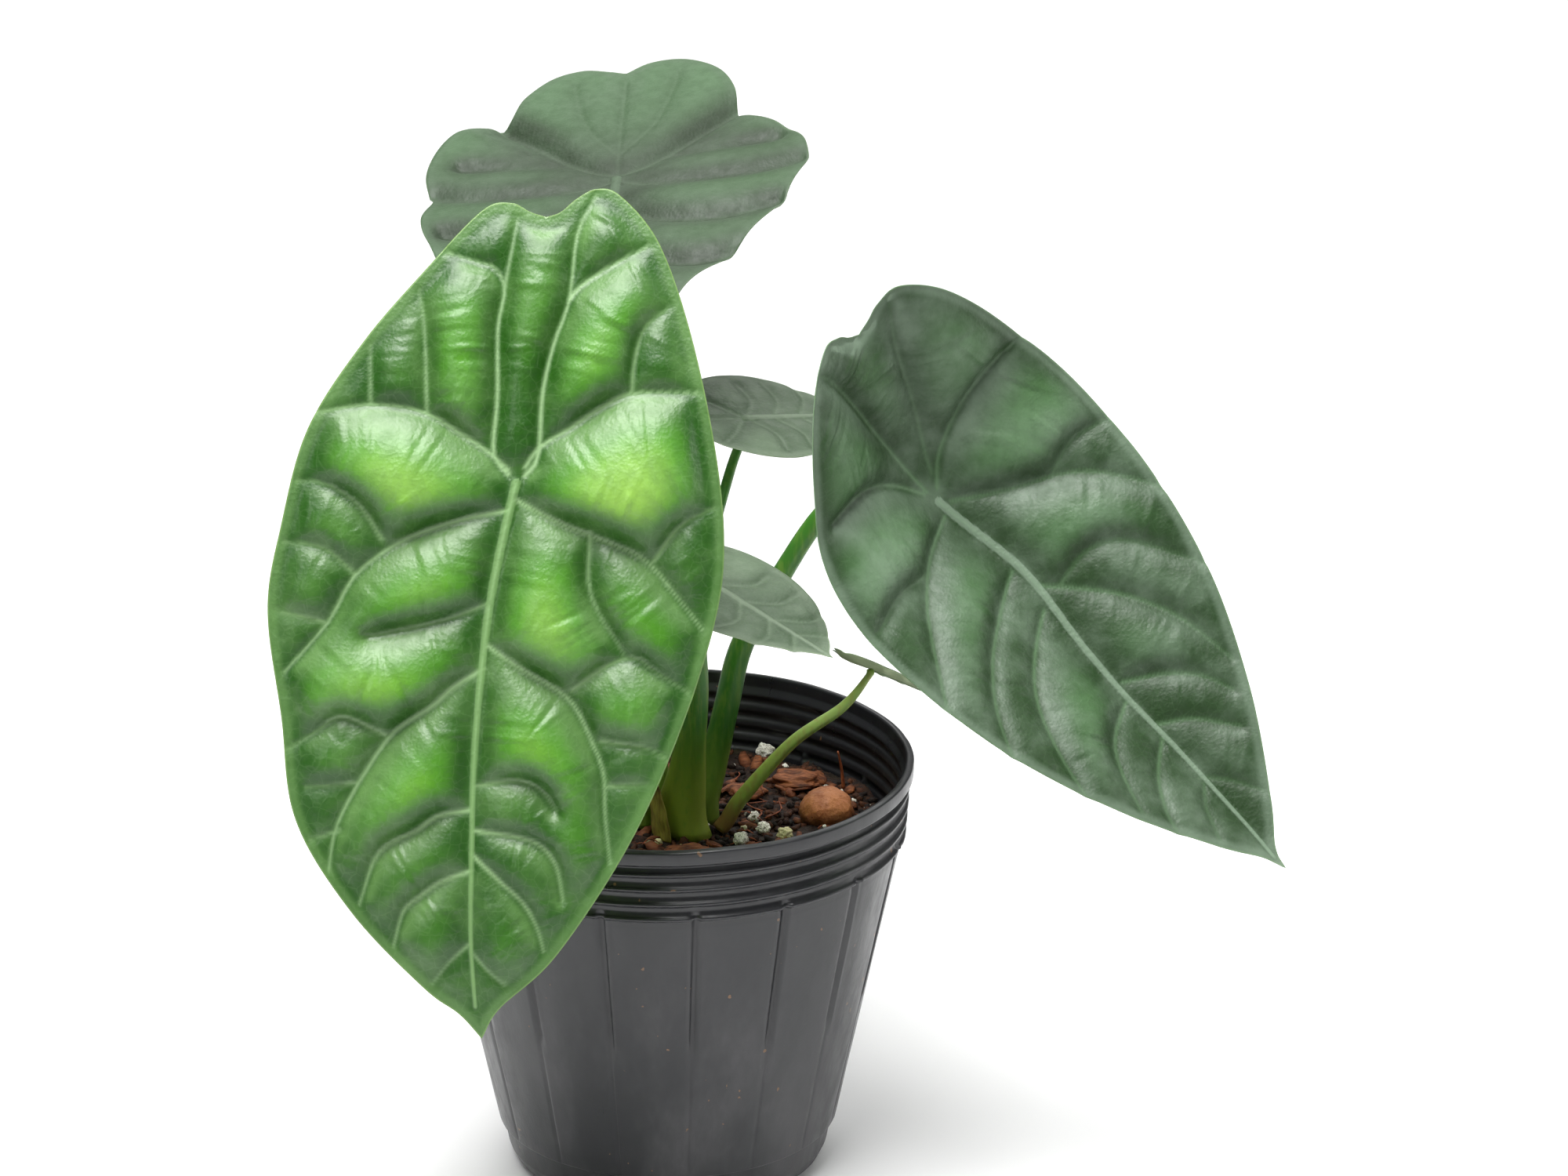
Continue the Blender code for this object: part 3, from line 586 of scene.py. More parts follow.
hair_shape = bmesh.new()
for x, y in spots(HAIR_COUNT, draws, SOIL_EDGE - 9, STEMS):
    turn = draws.uniform(0, math.tau)
    bend = draws.uniform(-2.5, 2.5)
    reach = draws.uniform(2.5, 6)
    route = []
    for share in (-1, -0.3, 0.4, 1):
        px = x + reach * share * math.cos(turn) - bend * share ** 2 * math.sin(turn)
        py = y + reach * share * math.sin(turn) + bend * share ** 2 * math.cos(turn)
        route.append((px, py, soil_height(px, py) + 0.9 + 0.6 * (1 - share ** 2)))
    sweep(hair_shape, route, 7, 5, lambda share, turn: 0.16 + 0.1 * share * (1 - share))
bmesh.ops.recalc_face_normals(hair_shape, faces=hair_shape.faces)
piece("loose_coir", hair_shape, [coir_mat], "coir_husk")

# ---------------------------------------------------------------- stem base and roots
# The short brown rhizome sits in the mix with its top just showing between the
# petioles, ringed with old leaf scars. Its five main roots run down out of sight.

CROWN_PROFILE = ((0, 92.6), (9, 92.3), (13.5, 91.0), (15.2, 88), (14.4, 86.5), (15, 85.5), (13, 81),
                 (13.6, 80), (10.4, 75), (6.2, 71), (0, 69.2))
crown_low, crown_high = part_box("rhizome")
crown_at = (crown_low + crown_high) / 2 / MM
crown_shape = bmesh.new()
profile = [crown_shape.verts.new((p.x, 0, p.y)) for p in eased(CROWN_PROFILE, 1.5, 0.9)]
runs = [crown_shape.edges.new(pair) for pair in zip(profile, profile[1:])]
bmesh.ops.spin(crown_shape, geom=profile + runs, cent=(0, 0, 0), axis=(0, 0, 1), angle=math.tau, steps=72,
               use_merge=True, use_duplicate=False)
bmesh.ops.remove_doubles(crown_shape, verts=crown_shape.verts, dist=0.001)
for vert in crown_shape.verts:
    gnarl = noise.noise(vert.co / 4) * 0.5 + noise.noise(vert.co / 1.6) * 0.2
    vert.co += Vector((crown_at.x, crown_at.y, 0)) + vert.normal * gnarl
bmesh.ops.recalc_face_normals(crown_shape, faces=crown_shape.faces)

# Corky rhizome skin: dull brown with darker rings and cracks.
crown_mat, tree, shader, place = finish("corky_rhizome", 1.4)
rings = speckle(tree, place, 3, 4, 0.6, (0.3, 0.3, 1.5))
corky = wash(tree, linear("2c190e"), linear("6a4126"), rings, 0.35, 0.65)
set_shader(tree, shader, corky, (rings, 0.3, 0.7, 0.9, 0.7), rings, relief=0.6)
piece("stem_base", crown_shape, [crown_mat], "rhizome", "rhizome")

# Fleshy root: cream skin, browned in patches by the peat.
root_mat, tree, shader, place = finish("fleshy_root", 1.4)
patches = speckle(tree, place, 5, 4, 0.6)
skin = wash(tree, linear("d3bd92"), linear("8a6a40"), patches, 0.4, 0.7)
set_shader(tree, shader, skin, (patches, 0.3, 0.7, 0.55, 0.8), patches, relief=0.3)
for node_name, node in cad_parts.items():
    if node_name.startswith("root_"):
        node.data.materials.clear()
        node.data.materials.append(root_mat)

# ---------------------------------------------------------------- blades and petioles
# Six peltate blades on round petioles. The tissue between the veins grows faster than
# the veins, so it puffs up into quilted panels, which the veins and the flat margin
# hold down. The front blade is young, glossy and bright; the rest are grown and matt.

# A blade's wall is its thickness weight times FULL_THICKNESS. Petioles start at
# SOIL_LINE, inside the mound, and the groove on their upper side is at GROOVE_TURN.
FULL_THICKNESS = 2.0
SOIL_LINE = 92.2
GROOVE_TURN = 4.4
GROOVE_WIDTH = 0.5
# How firmly each class of vein holds the tissue down, how wide, and how pale it is.
VEIN_CLASSES = {"rib": (9.0, 1.5, 0.9), "side": (7.0, 1.0, 0.8), "branch": (1.3, 1.2, 0.45),
                "faint": (0.05, 1.5, 0.5)}


class Leaf:
    """One blade and its petiole. See the values' names; lengths in mm, angles in degrees.

    joint, tip_way, face_way  place the blade: where the petiole meets it, joint to tip, upper side
    sides                     left and right outlines from the tip to the notch
    veins                     (class, route) in flat blade mm, the joint at (0, 0), the tip at -y
    puff, spread              height of the quilting, and how far a vein holds it down
    collar, hold              width of the flat margin, and how firmly it is held
    crimp, lop, paint         wrinkle height, how far crests lean to the tip, how pale the veins are
    lean, neck                the petiole's first step from its foot, its straight top under the blade
    """

    def __init__(self, name, joint, tip_way, face_way, sides, veins, route, radii, size, bow=0,
                 bend=((0, 0),), fold=0, wave=0.0, puff=6.0, spread=7.0, collar=3.5, hold=6.0,
                 crimp=0.3, lop=0.07, paint=1.0, lean=(0, 0, 6), neck=9, seed=1):
        self.name = name
        self.joint = np.array(joint, float)
        back = -np.array(tip_way, float)
        self.along = back / np.linalg.norm(back)
        across = np.cross(self.along, np.array(face_way, float))
        self.across = across / np.linalg.norm(across)
        self.face = np.cross(self.across, self.along)
        self.sides = sides
        self.veins = [(kind, smooth_line(route, 3 * len(route))) for kind, route in veins]
        self.route = route
        self.radii = radii
        self.size = size
        self.bow = bow
        self.bend = bend
        self.fold = fold
        self.wave = wave
        self.puff = puff
        self.spread = spread
        self.collar = collar
        self.hold = hold
        self.crimp = crimp
        self.lop = lop
        self.paint = paint
        self.lean = np.array(lean, float)
        self.neck = neck
        self.seed = seed

    def flat(self):
        """Points of the flat blade by rows from the tip to the notch, and their two shares."""
        columns, rows = self.size
        left = smooth_line(self.sides[0], rows)
        right = smooth_line(self.sides[1], rows)
        tip, notch = np.array(self.sides[0][0], float), np.array(self.sides[0][-1], float)
        share = np.linspace(0, 1, rows)[:, None]
        middle = tip + (notch - tip) * share
        middle[:, 0] -= self.bow * np.sin(math.pi * share[:, 0])
        out = np.linspace(-1, 1, columns)
        reach = np.abs(out)[None, :, None]
        edge = np.where((out < 0)[None, :, None], left[:, None], right[:, None])
        return middle[:, None] + reach * (edge - middle[:, None]), share, np.abs(out)[None, :]

    def outline(self):
        """The whole rim of the flat blade, from the tip round by the notch."""
        left = smooth_line(self.sides[0], 90)
        right = smooth_line(self.sides[1], 90)
        return np.vstack([left, right[::-1]])

    def quilting(self, x, y):
        """Height shares of the panels: a skin blown up between the veins that hold it down."""
        step = 0.8
        low_x, low_y = x.min() - 3, y.min() - 3
        xs = np.arange(low_x, x.max() + 3, step)
        ys = np.arange(low_y, y.max() + 3, step)
        grid_x, grid_y = np.meshgrid(xs, ys)
        pin = np.zeros_like(grid_x)
        for kind, line in self.veins:
            strength, width, _ = VEIN_CLASSES[kind]
            gap, _, _ = to_line(grid_x, grid_y, line)
            pin = np.maximum(pin, strength * np.exp(-(gap / width) ** 2))
        edge, _, _ = to_line(grid_x, grid_y, self.outline())
        pin += self.hold * np.clip((self.collar + 1 - edge) / 2, 0, 1)
        skin = np.full_like(grid_x, 0.5)
        pull = 1 / self.spread ** 2
        for _ in range(260):
            padded = np.pad(skin, 1, mode="edge")
            near = padded[:-2, 1:-1] * (1 - self.lop) + padded[2:, 1:-1] * (1 + self.lop)
            near += padded[1:-1, :-2] + padded[1:-1, 2:]
            skin = (near / step ** 2 + pull) / (4 / step ** 2 + pull + pin)
        column, row = (x - low_x) / step, (y - low_y) / step
        j = np.clip(column.astype(int), 0, len(xs) - 2)
        i = np.clip(row.astype(int), 0, len(ys) - 2)
        a, b = column - j, row - i
        return ((skin[i, j] * (1 - a) + skin[i, j + 1] * a) * (1 - b)
                + (skin[i + 1, j] * (1 - a) + skin[i + 1, j + 1] * a) * b)

    def snapped(self, x, y):
        """Slide grid points that lie very near a vein on to it, so that its crease is clean."""
        columns = np.hypot(np.gradient(x, axis=1), np.gradient(y, axis=1))
        rows = np.hypot(np.gradient(x, axis=0), np.gradient(y, axis=0))
        reach = 0.47 * np.minimum(columns, rows)
        reach[[0, -1]] = 0
        reach[:, [0, -1]] = 0
        best = np.full_like(x, 99)
        to = np.stack([x, y])
        for _, line in self.veins:
            gap, _, spot = to_line(x, y, line)
            nearer = gap < best
            best = np.where(nearer, gap, best)
            to = np.where(nearer, spot, to)
        moved = best < reach
        return np.where(moved, to[0], x), np.where(moved, to[1], y)

    def placed(self, x, y, height):
        """Flat points and heights in the world, bent along the midrib."""
        step = np.linspace(y.min() - 1, y.max() + 1, 400)
        stations = np.array(self.bend, float)
        angle = np.radians(np.interp(step, stations[:, 0], stations[:, 1]))
        run = np.concatenate([[0], np.cumsum(np.cos(angle[1:]) * np.diff(step))])
        rise = np.concatenate([[0], np.cumsum(np.sin(angle[1:]) * np.diff(step))])
        run -= np.interp(0, step, run)
        rise -= np.interp(0, step, rise)
        slope = np.interp(y, step, angle)
        back = np.interp(y, step, run) - height * np.sin(slope)
        lift = np.interp(y, step, rise) + height * np.cos(slope)
        return (self.joint + x[..., None] * self.across + back[..., None] * self.along
                + lift[..., None] * self.face)

    def make_blade(self, mats, slot):
        points, share, out = self.flat()
        x, y = self.snapped(points[..., 0], points[..., 1])
        margin, _, _ = to_line(x, y, self.outline())
        crest = self.quilting(x, y)
        ink, cord, crimps, weights, nearest = (np.zeros_like(x) for _ in range(5))
        nearest += 99
        for number, (kind, line) in enumerate(self.veins):
            gap, run, _ = to_line(x, y, line)
            _, _, paint = VEIN_CLASSES[kind]
            taper = 1 - 0.5 * run / run.max()
            ink = np.maximum(ink, self.paint * paint * taper * np.exp(-(gap / (0.26 + 0.3 * taper)) ** 2))
            if kind == "rib":
                cord = np.maximum(cord, taper * np.exp(-(gap / (1.15 * taper)) ** 4))
            weight = np.exp(-gap / 3.5)
            phase = 2.4 * number + self.seed
            ripple = sum(np.sin(run * rate + turn * phase) / rate ** 0.5
                         for rate, turn in ((0.9, 1), (1.6, 2.1), (2.5, 0.7), (3.4, 1.6)))
            crimps += weight * ripple * (0.5 + 0.5 * np.sin(run * 0.31 + 1.3 * phase))
            weights += weight
            nearest = np.minimum(nearest, gap)
        crimps = crimps / weights * np.clip((nearest - 0.8) / 3, 0, 1)
        crimps *= np.clip((margin - self.collar) / 3, 0, 1)
        height = self.puff * crest + self.crimp * crimps * (0.35 + crest)
        height -= 0.35 * np.exp(-(nearest / 1.1) ** 2)
        height += 0.75 * cord
        height += math.tan(math.radians(self.fold)) * (np.sqrt(x ** 2 + 9) - 3)
        height += self.wave * out ** 2 * np.sin(math.tau * 2.2 * share + 1.0)
        world = self.placed(x, y, height)
        thick = np.clip(0.35 + 0.65 * margin / 3, 0.35, 1) * (0.6 + 0.5 * ink ** 2) + 0.9 * cord
        thick = np.clip(thick / FULL_THICKNESS, 0.05, 1)
        # The lean of the quilting along the blade goes to the upper skin, which paints shade and a reflection
        # by it.
        lean = np.gradient(self.puff * crest, axis=0) / np.maximum(np.abs(np.gradient(y, axis=0)), 0.05)
        shape = bmesh.new()
        columns, rows = self.size
        bmesh.ops.create_grid(shape, x_segments=columns - 1, y_segments=rows - 1, size=1)
        values = {"ink": ink, "cord": cord, "crest": crest, "margin": margin, "lean": np.clip(lean, -1, 1),
                  "flat_x": x, "flat_y": y}
        layers = {key: shape.verts.layers.float.new(key) for key in values}
        skin = shape.verts.layers.deform.verify()
        for vert in shape.verts:
            at = (round((vert.co.y + 1) / 2 * (rows - 1)), round((vert.co.x + 1) / 2 * (columns - 1)))
            vert.co = world[at]
            for key, layer in layers.items():
                vert[layer] = values[key][at]
            vert[skin][0] = float(thick[at])
        bmesh.ops.remove_doubles(shape, verts=shape.verts, dist=0.02)
        made = piece(self.name + "_blade", shape, mats, slot, self.name)
        made.vertex_groups.new(name="thickness")
        wall = made.modifiers.new("Thickness", "SOLIDIFY")
        wall.thickness = FULL_THICKNESS * MM
        wall.offset = -1
        wall.vertex_group = "thickness"
        wall.material_offset = 1
        wall.material_offset_rim = 2
        return made

    def make_petiole(self, mat, groove=0.12, sheath=0.0):
        joint = self.joint
        foot = np.array((*self.route[0], SOIL_LINE))
        route = [foot, foot + self.lean] + [np.array(p, float) for p in self.route[1:]]
        route += [joint - self.face * self.neck, joint - self.face * 1.2]
        spots_along = np.linspace(0, 1, len(self.radii))

        def size_at(share, turn):
            size = np.interp(share, spots_along, self.radii)
            size *= 1 - groove * math.exp(-((turn - GROOVE_TURN) / GROOVE_WIDTH) ** 2)
            size *= 1 + sheath * math.exp(-share / 0.12) * math.cos(turn + 0.6) ** 2
            return size * (1 + 0.35 * ease(0.965, 1.0, share))

        shape = bmesh.new()
        sweep(shape, route, 70, 24, size_at)
        bmesh.ops.recalc_face_normals(shape, faces=shape.faces)
        name = self.name.replace("leaf", "petiole")
        return piece(name + "_stalk", shape, [mat], "petiole", name)


def to_line(x, y, line):
    """Distance of each point to a line, how far along it the nearest spot is, and that spot."""
    best = np.full(x.shape, 1e9)
    run = np.zeros(x.shape)
    spot = np.zeros((2, *x.shape))
    start = 0.0
    for (ax, ay), (bx, by) in zip(line, line[1:]):
        dx, dy = bx - ax, by - ay
        length = math.hypot(dx, dy)
        if length < 1e-9:
            continue
        share = np.clip(((x - ax) * dx + (y - ay) * dy) / length ** 2, 0, 1)
        gap = (x - ax - share * dx) ** 2 + (y - ay - share * dy) ** 2
        nearer = gap < best
        best = np.where(nearer, gap, best)
        run = np.where(nearer, start + share * length, run)
        spot = np.where(nearer, [ax + share * dx, ay + share * dy], spot)
        start += length
    return np.sqrt(best), run, spot


def blade_mats(name, painted_shade_and_deep_green, mid, painted_lit_and_light_green, bloom_and_painted_reflection, vein, edge, under, roughness, coat=0.0, net=0.3, collar=0.3):
    """Upper side, underside and cut edge of a blade: living leaf with a waxy skin.

    The first three greens go from the creases to the crests: a painted shade in the creases and painted
    lighting on the crests. The darkest is also a painted shade on the slopes that rise towards the notch,
    beside the leaf's own darker mottle. The grey green after them is a painted reflection on the slopes
    that rise from each vein towards the tip, and also the leaf's real grey bloom in patches, on the flat
    margin, on the midrib and on the cut edge; net is how much the fine veins show.
    """
    mats = []
    mat, tree, shader, place = finish(name + "_upper_skin", 1.45, Coat_Weight=coat, Coat_Roughness=0.22)
    read = {key: add(tree, "Attribute", attribute_name=key).outputs["Fac"]
            for key in ("ink", "cord", "crest", "margin", "lean", "flat_x", "flat_y")}
    flat = add(tree, "CombineXYZ", {0: read["flat_x"], 1: read["flat_y"]}).outputs[0]
    waver = add(tree, "TexNoise", {"Vector": flat, "Scale": 1 / 3, "Detail": 2}).outputs["Color"]
    bent = add(tree, "VectorMath", {0: flat, 1: waver}, operation="ADD").outputs[0]
    cells = add(tree, "TexVoronoi", {"Vector": bent, "Scale": 1 / 3.2, "Randomness": 0.8},
                feature="DISTANCE_TO_EDGE").outputs["Distance"]
    small = add(tree, "TexVoronoi", {"Vector": flat, "Scale": 1 / 0.9}).outputs["Distance"]
    cloud = speckle(tree, place, 14, 4, 0.55)
    mottle = speckle(tree, place, 3.2, 3, 0.6)
    # Painted shade in the creases and painted lighting on the crests, by the quilting's height; then painted
    # shade on the slopes that rise towards the notch and a painted reflection on those that rise towards the
    # tip, by the slope's lean.
    colour = wash(tree, linear(painted_shade_and_deep_green), linear(mid), read["crest"], 0.12, 0.5)
    colour = wash(tree, colour, linear(painted_lit_and_light_green), read["crest"], 0.38, 0.8)
    colour = wash(tree, colour, linear(painted_shade_and_deep_green), read["lean"], 0.1, 0.8, 0, 0.8)
    colour = wash(tree, colour, linear(bloom_and_painted_reflection), read["lean"], -0.1, -0.6, 0, 0.55)
    colour = wash(tree, colour, linear(bloom_and_painted_reflection), cloud, 0.35, 0.75, 0, 0.35)
    colour = wash(tree, colour, linear(painted_shade_and_deep_green), mottle, 0.35, 0.7, 0, 0.18)
    colour = wash(tree, colour, linear(vein), cells, 0.07, 0.0, 0, net)
    colour = wash(tree, colour, linear(bloom_and_painted_reflection), read["margin"], 3.2, 1.2, 0, collar)
    colour = add(tree, "Mix", {0: read["ink"], 6: colour, 7: linear(vein)},
                 data_type="RGBA").outputs[2]
    colour = wash(tree, colour, linear(bloom_and_painted_reflection), read["cord"], 0.15, 0.6, 0, 0.55)
    colour = wash(tree, colour, linear(edge), read["margin"], 0.5, 0.15, 0, 0.5)
    matt = (mottle, 0.25, 0.75, roughness - 0.06, roughness + 0.07)
    creased = add(tree, "Math", {0: mottle, 1: 3.5}, operation="MULTIPLY").outputs[0]
    pebbled = add(tree, "Math", {0: small, 1: creased}, operation="ADD").outputs[0]
    set_shader(tree, shader, colour, matt, pebbled, relief=0.11, strength=0.6)
    mats.append(mat)

    mat, tree, shader, place = finish(name + "_underside", 1.45)
    cord = add(tree, "Attribute", attribute_name="cord").outputs["Fac"]
    ink = add(tree, "Attribute", attribute_name="ink").outputs["Fac"]
    cloud = speckle(tree, place, 16, 3, 0.45)
    pores = speckle(tree, place, 0.9, 2, 0.5)
    colour = wash(tree, linear(under), linear(painted_lit_and_light_green), cloud, 0.2, 0.8, 0, 0.4)
    colour = wash(tree, colour, linear(vein), ink, 0.1, 0.8, 0, 0.8)
    colour = wash(tree, colour, linear(edge), cord, 0.2, 0.7, 0, 0.8)
    set_shader(tree, shader, colour, (cloud, 0.3, 0.7, 0.5, 0.62), pores, relief=0.08)
    mats.append(mat)

    mat, tree, shader, place = finish(name + "_rim", 1.45)
    cloud = speckle(tree, place, 6, 3, 0.6)
    colour = wash(tree, linear(edge), linear(bloom_and_painted_reflection), cloud, 0.3, 0.7)
    set_shader(tree, shader, colour, (cloud, 0.3, 0.7, 0.35, 0.5))
    mats.append(mat)
    return mats


def stalk_mat(name, foot, low, high):
    """Petiole skin: smooth and waxy, pale at the foot, greener higher up, finely streaked."""
    mat, tree, shader, place = finish(name, 1.45)
    along = add(tree, "Attribute", attribute_name="along").outputs["Fac"]
    streak = speckle(tree, place, 1.4, 4, 0.6, (1, 1, 0.12))
    spot = speckle(tree, place, 2.2, 3, 0.6, (1, 1, 0.5))
    colour = wash(tree, linear(foot), linear(low), along, 0.04, 0.22)
    colour = wash(tree, colour, linear(high), along, 0.15, 0.8)
    colour = wash(tree, colour, linear(foot), streak, 0.42, 0.72, 0, 0.4)
    colour = wash(tree, colour, linear(high), spot, 0.58, 0.72, 0, 0.35)
    set_shader(tree, shader, colour, (streak, 0.3, 0.7, 0.32, 0.46), streak, relief=0.15, strength=0.5)
    return mat


# Front blade: a young leaf hanging upright, longer than a hand, bright yellow green.
FRONT_LEFT = [(0, -139), (-6, -133), (-15, -127), (-34, -109), (-49, -87), (-54, -62), (-59, -36),
              (-57, -15), (-52, 9), (-40, 31), (-26, 50), (-13, 66), (-6, 68.5), (-1, 66.5), (3, 65.5)]
FRONT_RIGHT = [(0, -139), (4, -131), (17, -117), (33, -89), (44, -60), (51, -32), (52, -12),
               (48, 12), (40, 40), (31, 61), (21, 72), (15, 73.5), (10, 70.5), (6.5, 67), (3, 65.5)]
FRONT_VEINS = [
    ("rib", [(0, -1), (-3, -19), (-5, -37), (-6, -67), (-5, -96), (-4, -115), (-2, -131)]),
    ("side", [(-2, 1), (-6, 6), (-6, 20), (-7, 37), (-6, 47), (-9, 52), (-13, 53), (-21, 55)]),
    ("branch", [(-6, 47), (-5, 56), (-4, 65)]),
    ("side", [(2, 1), (5, 6), (5, 21), (7, 34), (10, 45), (11, 62), (15, 72)]),
    ("side", [(10, 45), (13, 49), (21, 55), (29, 60)]),
    ("branch", [(27, 23), (27, 30), (29, 39), (35, 45)]),
    ("side", [(-2, 2), (-7, 6), (-14, 10), (-24, 15), (-37, 16), (-51, 13)]),
    ("branch", [(-37, 16), (-38, 31)]),
    ("branch", [(-23, 15), (-25, 36), (-27, 45)]),
    ("side", [(2, 3), (5, 8), (12, 13), (20, 19), (28, 23), (44, 24)]),
    ("side", [(-2, -8), (-13, -11), (-27, -17), (-38, -26), (-44, -38), (-54, -51)]),
    ("branch", [(-38, -26), (-46, -20), (-56, -19)]),
    ("branch", [(-32, -17), (-38, -9), (-47, -4), (-54, -4)]),
    ("branch", [(-45, -38), (-57, -36)]),
    ("side", [(0, -5), (11, -10), (23, -14), (33, -18), (41, -26), (48, -34)]),
    ("branch", [(35, -18), (41, -9), (49, -4)]),
    ("branch", [(19, -12), (20, -27), (29, -41)]),
    ("branch", [(-5, -31), (-16, -36), (-34, -41)]),
    ("side", [(-5, -47), (-12, -52), (-17, -57), (-25, -63), (-29, -68), (-35, -79), (-39, -89), (-40, -99)]),
    ("branch", [(-28, -65), (-39, -61), (-45, -65), (-52, -70)]),
    ("branch", [(-34, -77), (-47, -79)]),
    ("branch", [(-38, -89), (-45, -92)]),
    ("side", [(-5, -41), (5, -47), (13, -51), (18, -55), (23, -64), (26, -71), (27, -81), (29, -93)]),
    ("branch", [(17, -51), (26, -44), (32, -42), (37, -45), (46, -50)]),
    ("branch", [(25, -63), (36, -64), (42, -67)]),
    ("branch", [(27, -74), (37, -73)]),
    ("side", [(-6, -82), (-14, -84), (-19, -88), (-28, -94), (-32, -107)]),
    ("side", [(-5, -87), (6, -88), (12, -90), (16, -95), (18, -103)]),
    ("branch", [(-5, -76), (5, -74), (11, -76), (15, -81)]),
    ("side", [(-5, -97), (-12, -100), (-17, -104), (-21, -108), (-23, -117)]),
    ("side", [(-5, -93), (2, -99), (8, -104), (12, -110), (14, -116)]),
    ("branch", [(-4, -115), (-9, -120), (-13, -126)]),
    ("branch", [(-4, -117), (1, -122), (5, -125)]),
]
front_leaf = Leaf("front_leaf", (-35, -62, 210), (-0.064, -0.346, -0.936), (0, -0.938, 0.347),
                  (FRONT_LEFT, FRONT_RIGHT), FRONT_VEINS,
                  [(4, -5), (6, -6, 112), (8, -6, 135), (6, -5, 158), (0, -7, 180), (-12, -22, 200),
                   (-27, -42, 208)],
                  [5.2, 3.4, 3.0, 2.8, 2.6, 2.4, 2.2], (155, 295), bow=5, puff=11.0, spread=7.5,
                  bend=((-139, 14), (-90, 2), (0, 0), (70, -12)), crimp=0.42)
front_mats = blade_mats("young_leaf", painted_shade_and_deep_green="1c4a06", mid="46831a", painted_lit_and_light_green="8fba50", bloom_and_painted_reflection="6a9152",
                        vein="93b480", edge="7c9a58", under="7fa850", roughness=0.42, coat=0.13, net=0.05,
                        collar=0.35)
front_leaf.make_blade(front_mats, "young_leaf")
front_leaf.make_petiole(stalk_mat("young_petiole_skin", "93a33f", "2f6a12", "4f8a2a"), sheath=0.7)

# The usual grown outline, as shares of half width and of length from joint to tip.
USUAL_SIDE = [(0, -1), (0.05, -0.955), (0.22, -0.88), (0.55, -0.70), (0.83, -0.48), (0.98, -0.25),
              (1.0, -0.05), (0.92, 0.14), (0.74, 0.31), (0.52, 0.44), (0.30, 0.50), (0.16, 0.485),
              (0.07, 0.455), (0, 0.44)]


def half_outline(half_width, tip_length, lobe=1.0):
    """One side of a usual blade in mm, its lobe lengthened or shortened."""
    return [(across * half_width, along * tip_length * (lobe if along > 0 else 1))
            for across, along in USUAL_SIDE]


def mirrored(veins):
    """The same veins on the other side of the midrib."""
    return [(kind, [(-x, y) for x, y in route]) for kind, route in veins]


# Right blade: a grown leaf, grey green and matt, creased along its midrib.
RIGHT_VEINS = [
    ("rib", [(0, -1), (4, -20), (5, -33), (3, -52), (2, -70), (2, -90), (1, -115), (0, -126)]),
    ("side", [(2, 2), (8, 10), (21, 20), (30, 25), (39, 28)]),
    ("side", [(-1, 3), (-4, 18), (-9, 36), (-14, 50), (-18, 57)]),
    ("branch", [(3, 6), (7, 24), (8, 45), (10, 58)]),
    ("side", [(-2, 3), (-10, 12), (-20, 18), (-34, 20)]),
    ("side", [(3, -3), (17, -11), (28, -17), (36, -25), (44, -38)]),
    ("branch", [(26, -15), (35, -11), (44, -13)]),
    ("side", [(5, -34), (13, -43), (20, -53), (25, -66), (27, -82)]),
    ("branch", [(9, -38), (19, -36), (28, -41), (38, -59)]),
    ("side", [(4, -67), (13, -73), (19, -80), (22, -88)]),
    ("side", [(3, -81), (10, -86), (17, -96)]),
    ("side", [(-1, -5), (-13, -10), (-22, -17), (-31, -27), (-42, -42)]),
    ("branch", [(-17, -13), (-30, -12), (-42, -16)]),
    ("side", [(3, -27), (-10, -34), (-21, -41), (-31, -51), (-38, -63)]),
    ("side", [(2, -40), (-11, -48), (-20, -57), (-26, -70), (-30, -85)]),
    ("side", [(2, -71), (-9, -76), (-15, -83), (-20, -95)]),
    ("side", [(2, -84), (-8, -91), (-14, -99), (-17, -107)]),
    ("branch", [(1, -100), (-4, -105), (-8, -113)]),
    ("branch", [(1, -98), (6, -104), (10, -112)]),
]
right_leaf = Leaf("right_leaf", (69.6, -5, 184.7), (0.678, -0.308, -0.668), (0.25, -0.75, 0.6),
                  (half_outline(-46, 130, 0.95), half_outline(45, 130, 0.95)), RIGHT_VEINS,
                  [(10, 4), (12, 5, 106), (16, 7, 124), (20, 8, 140), (30, 8, 159), (42, 6, 178),
                   (56, 7, 186)],
                  [4.0, 3.4, 3.0, 2.6, 2.3, 2.0], (140, 260), fold=20, puff=8.5, spread=8.5, collar=1.2,
                  hold=1.2, bend=((-130, -6), (-20, 0), (5, 20), (30, 46), (70, 50)), crimp=0.3,
                  paint=0.6, seed=5)
grown_mats = blade_mats("grown_leaf", painted_shade_and_deep_green="17340c", mid="3a5c32", painted_lit_and_light_green="678563", bloom_and_painted_reflection="7d917c",
                        vein="5e7f58", edge="5f7b55", under="7f9a74", roughness=0.52, net=0.06)
right_leaf.make_blade(grown_mats, "grown_leaf")
grown_stalk = stalk_mat("grown_petiole_skin", "6f8a34", "2b5f14", "35691f")
right_leaf.make_petiole(grown_stalk)

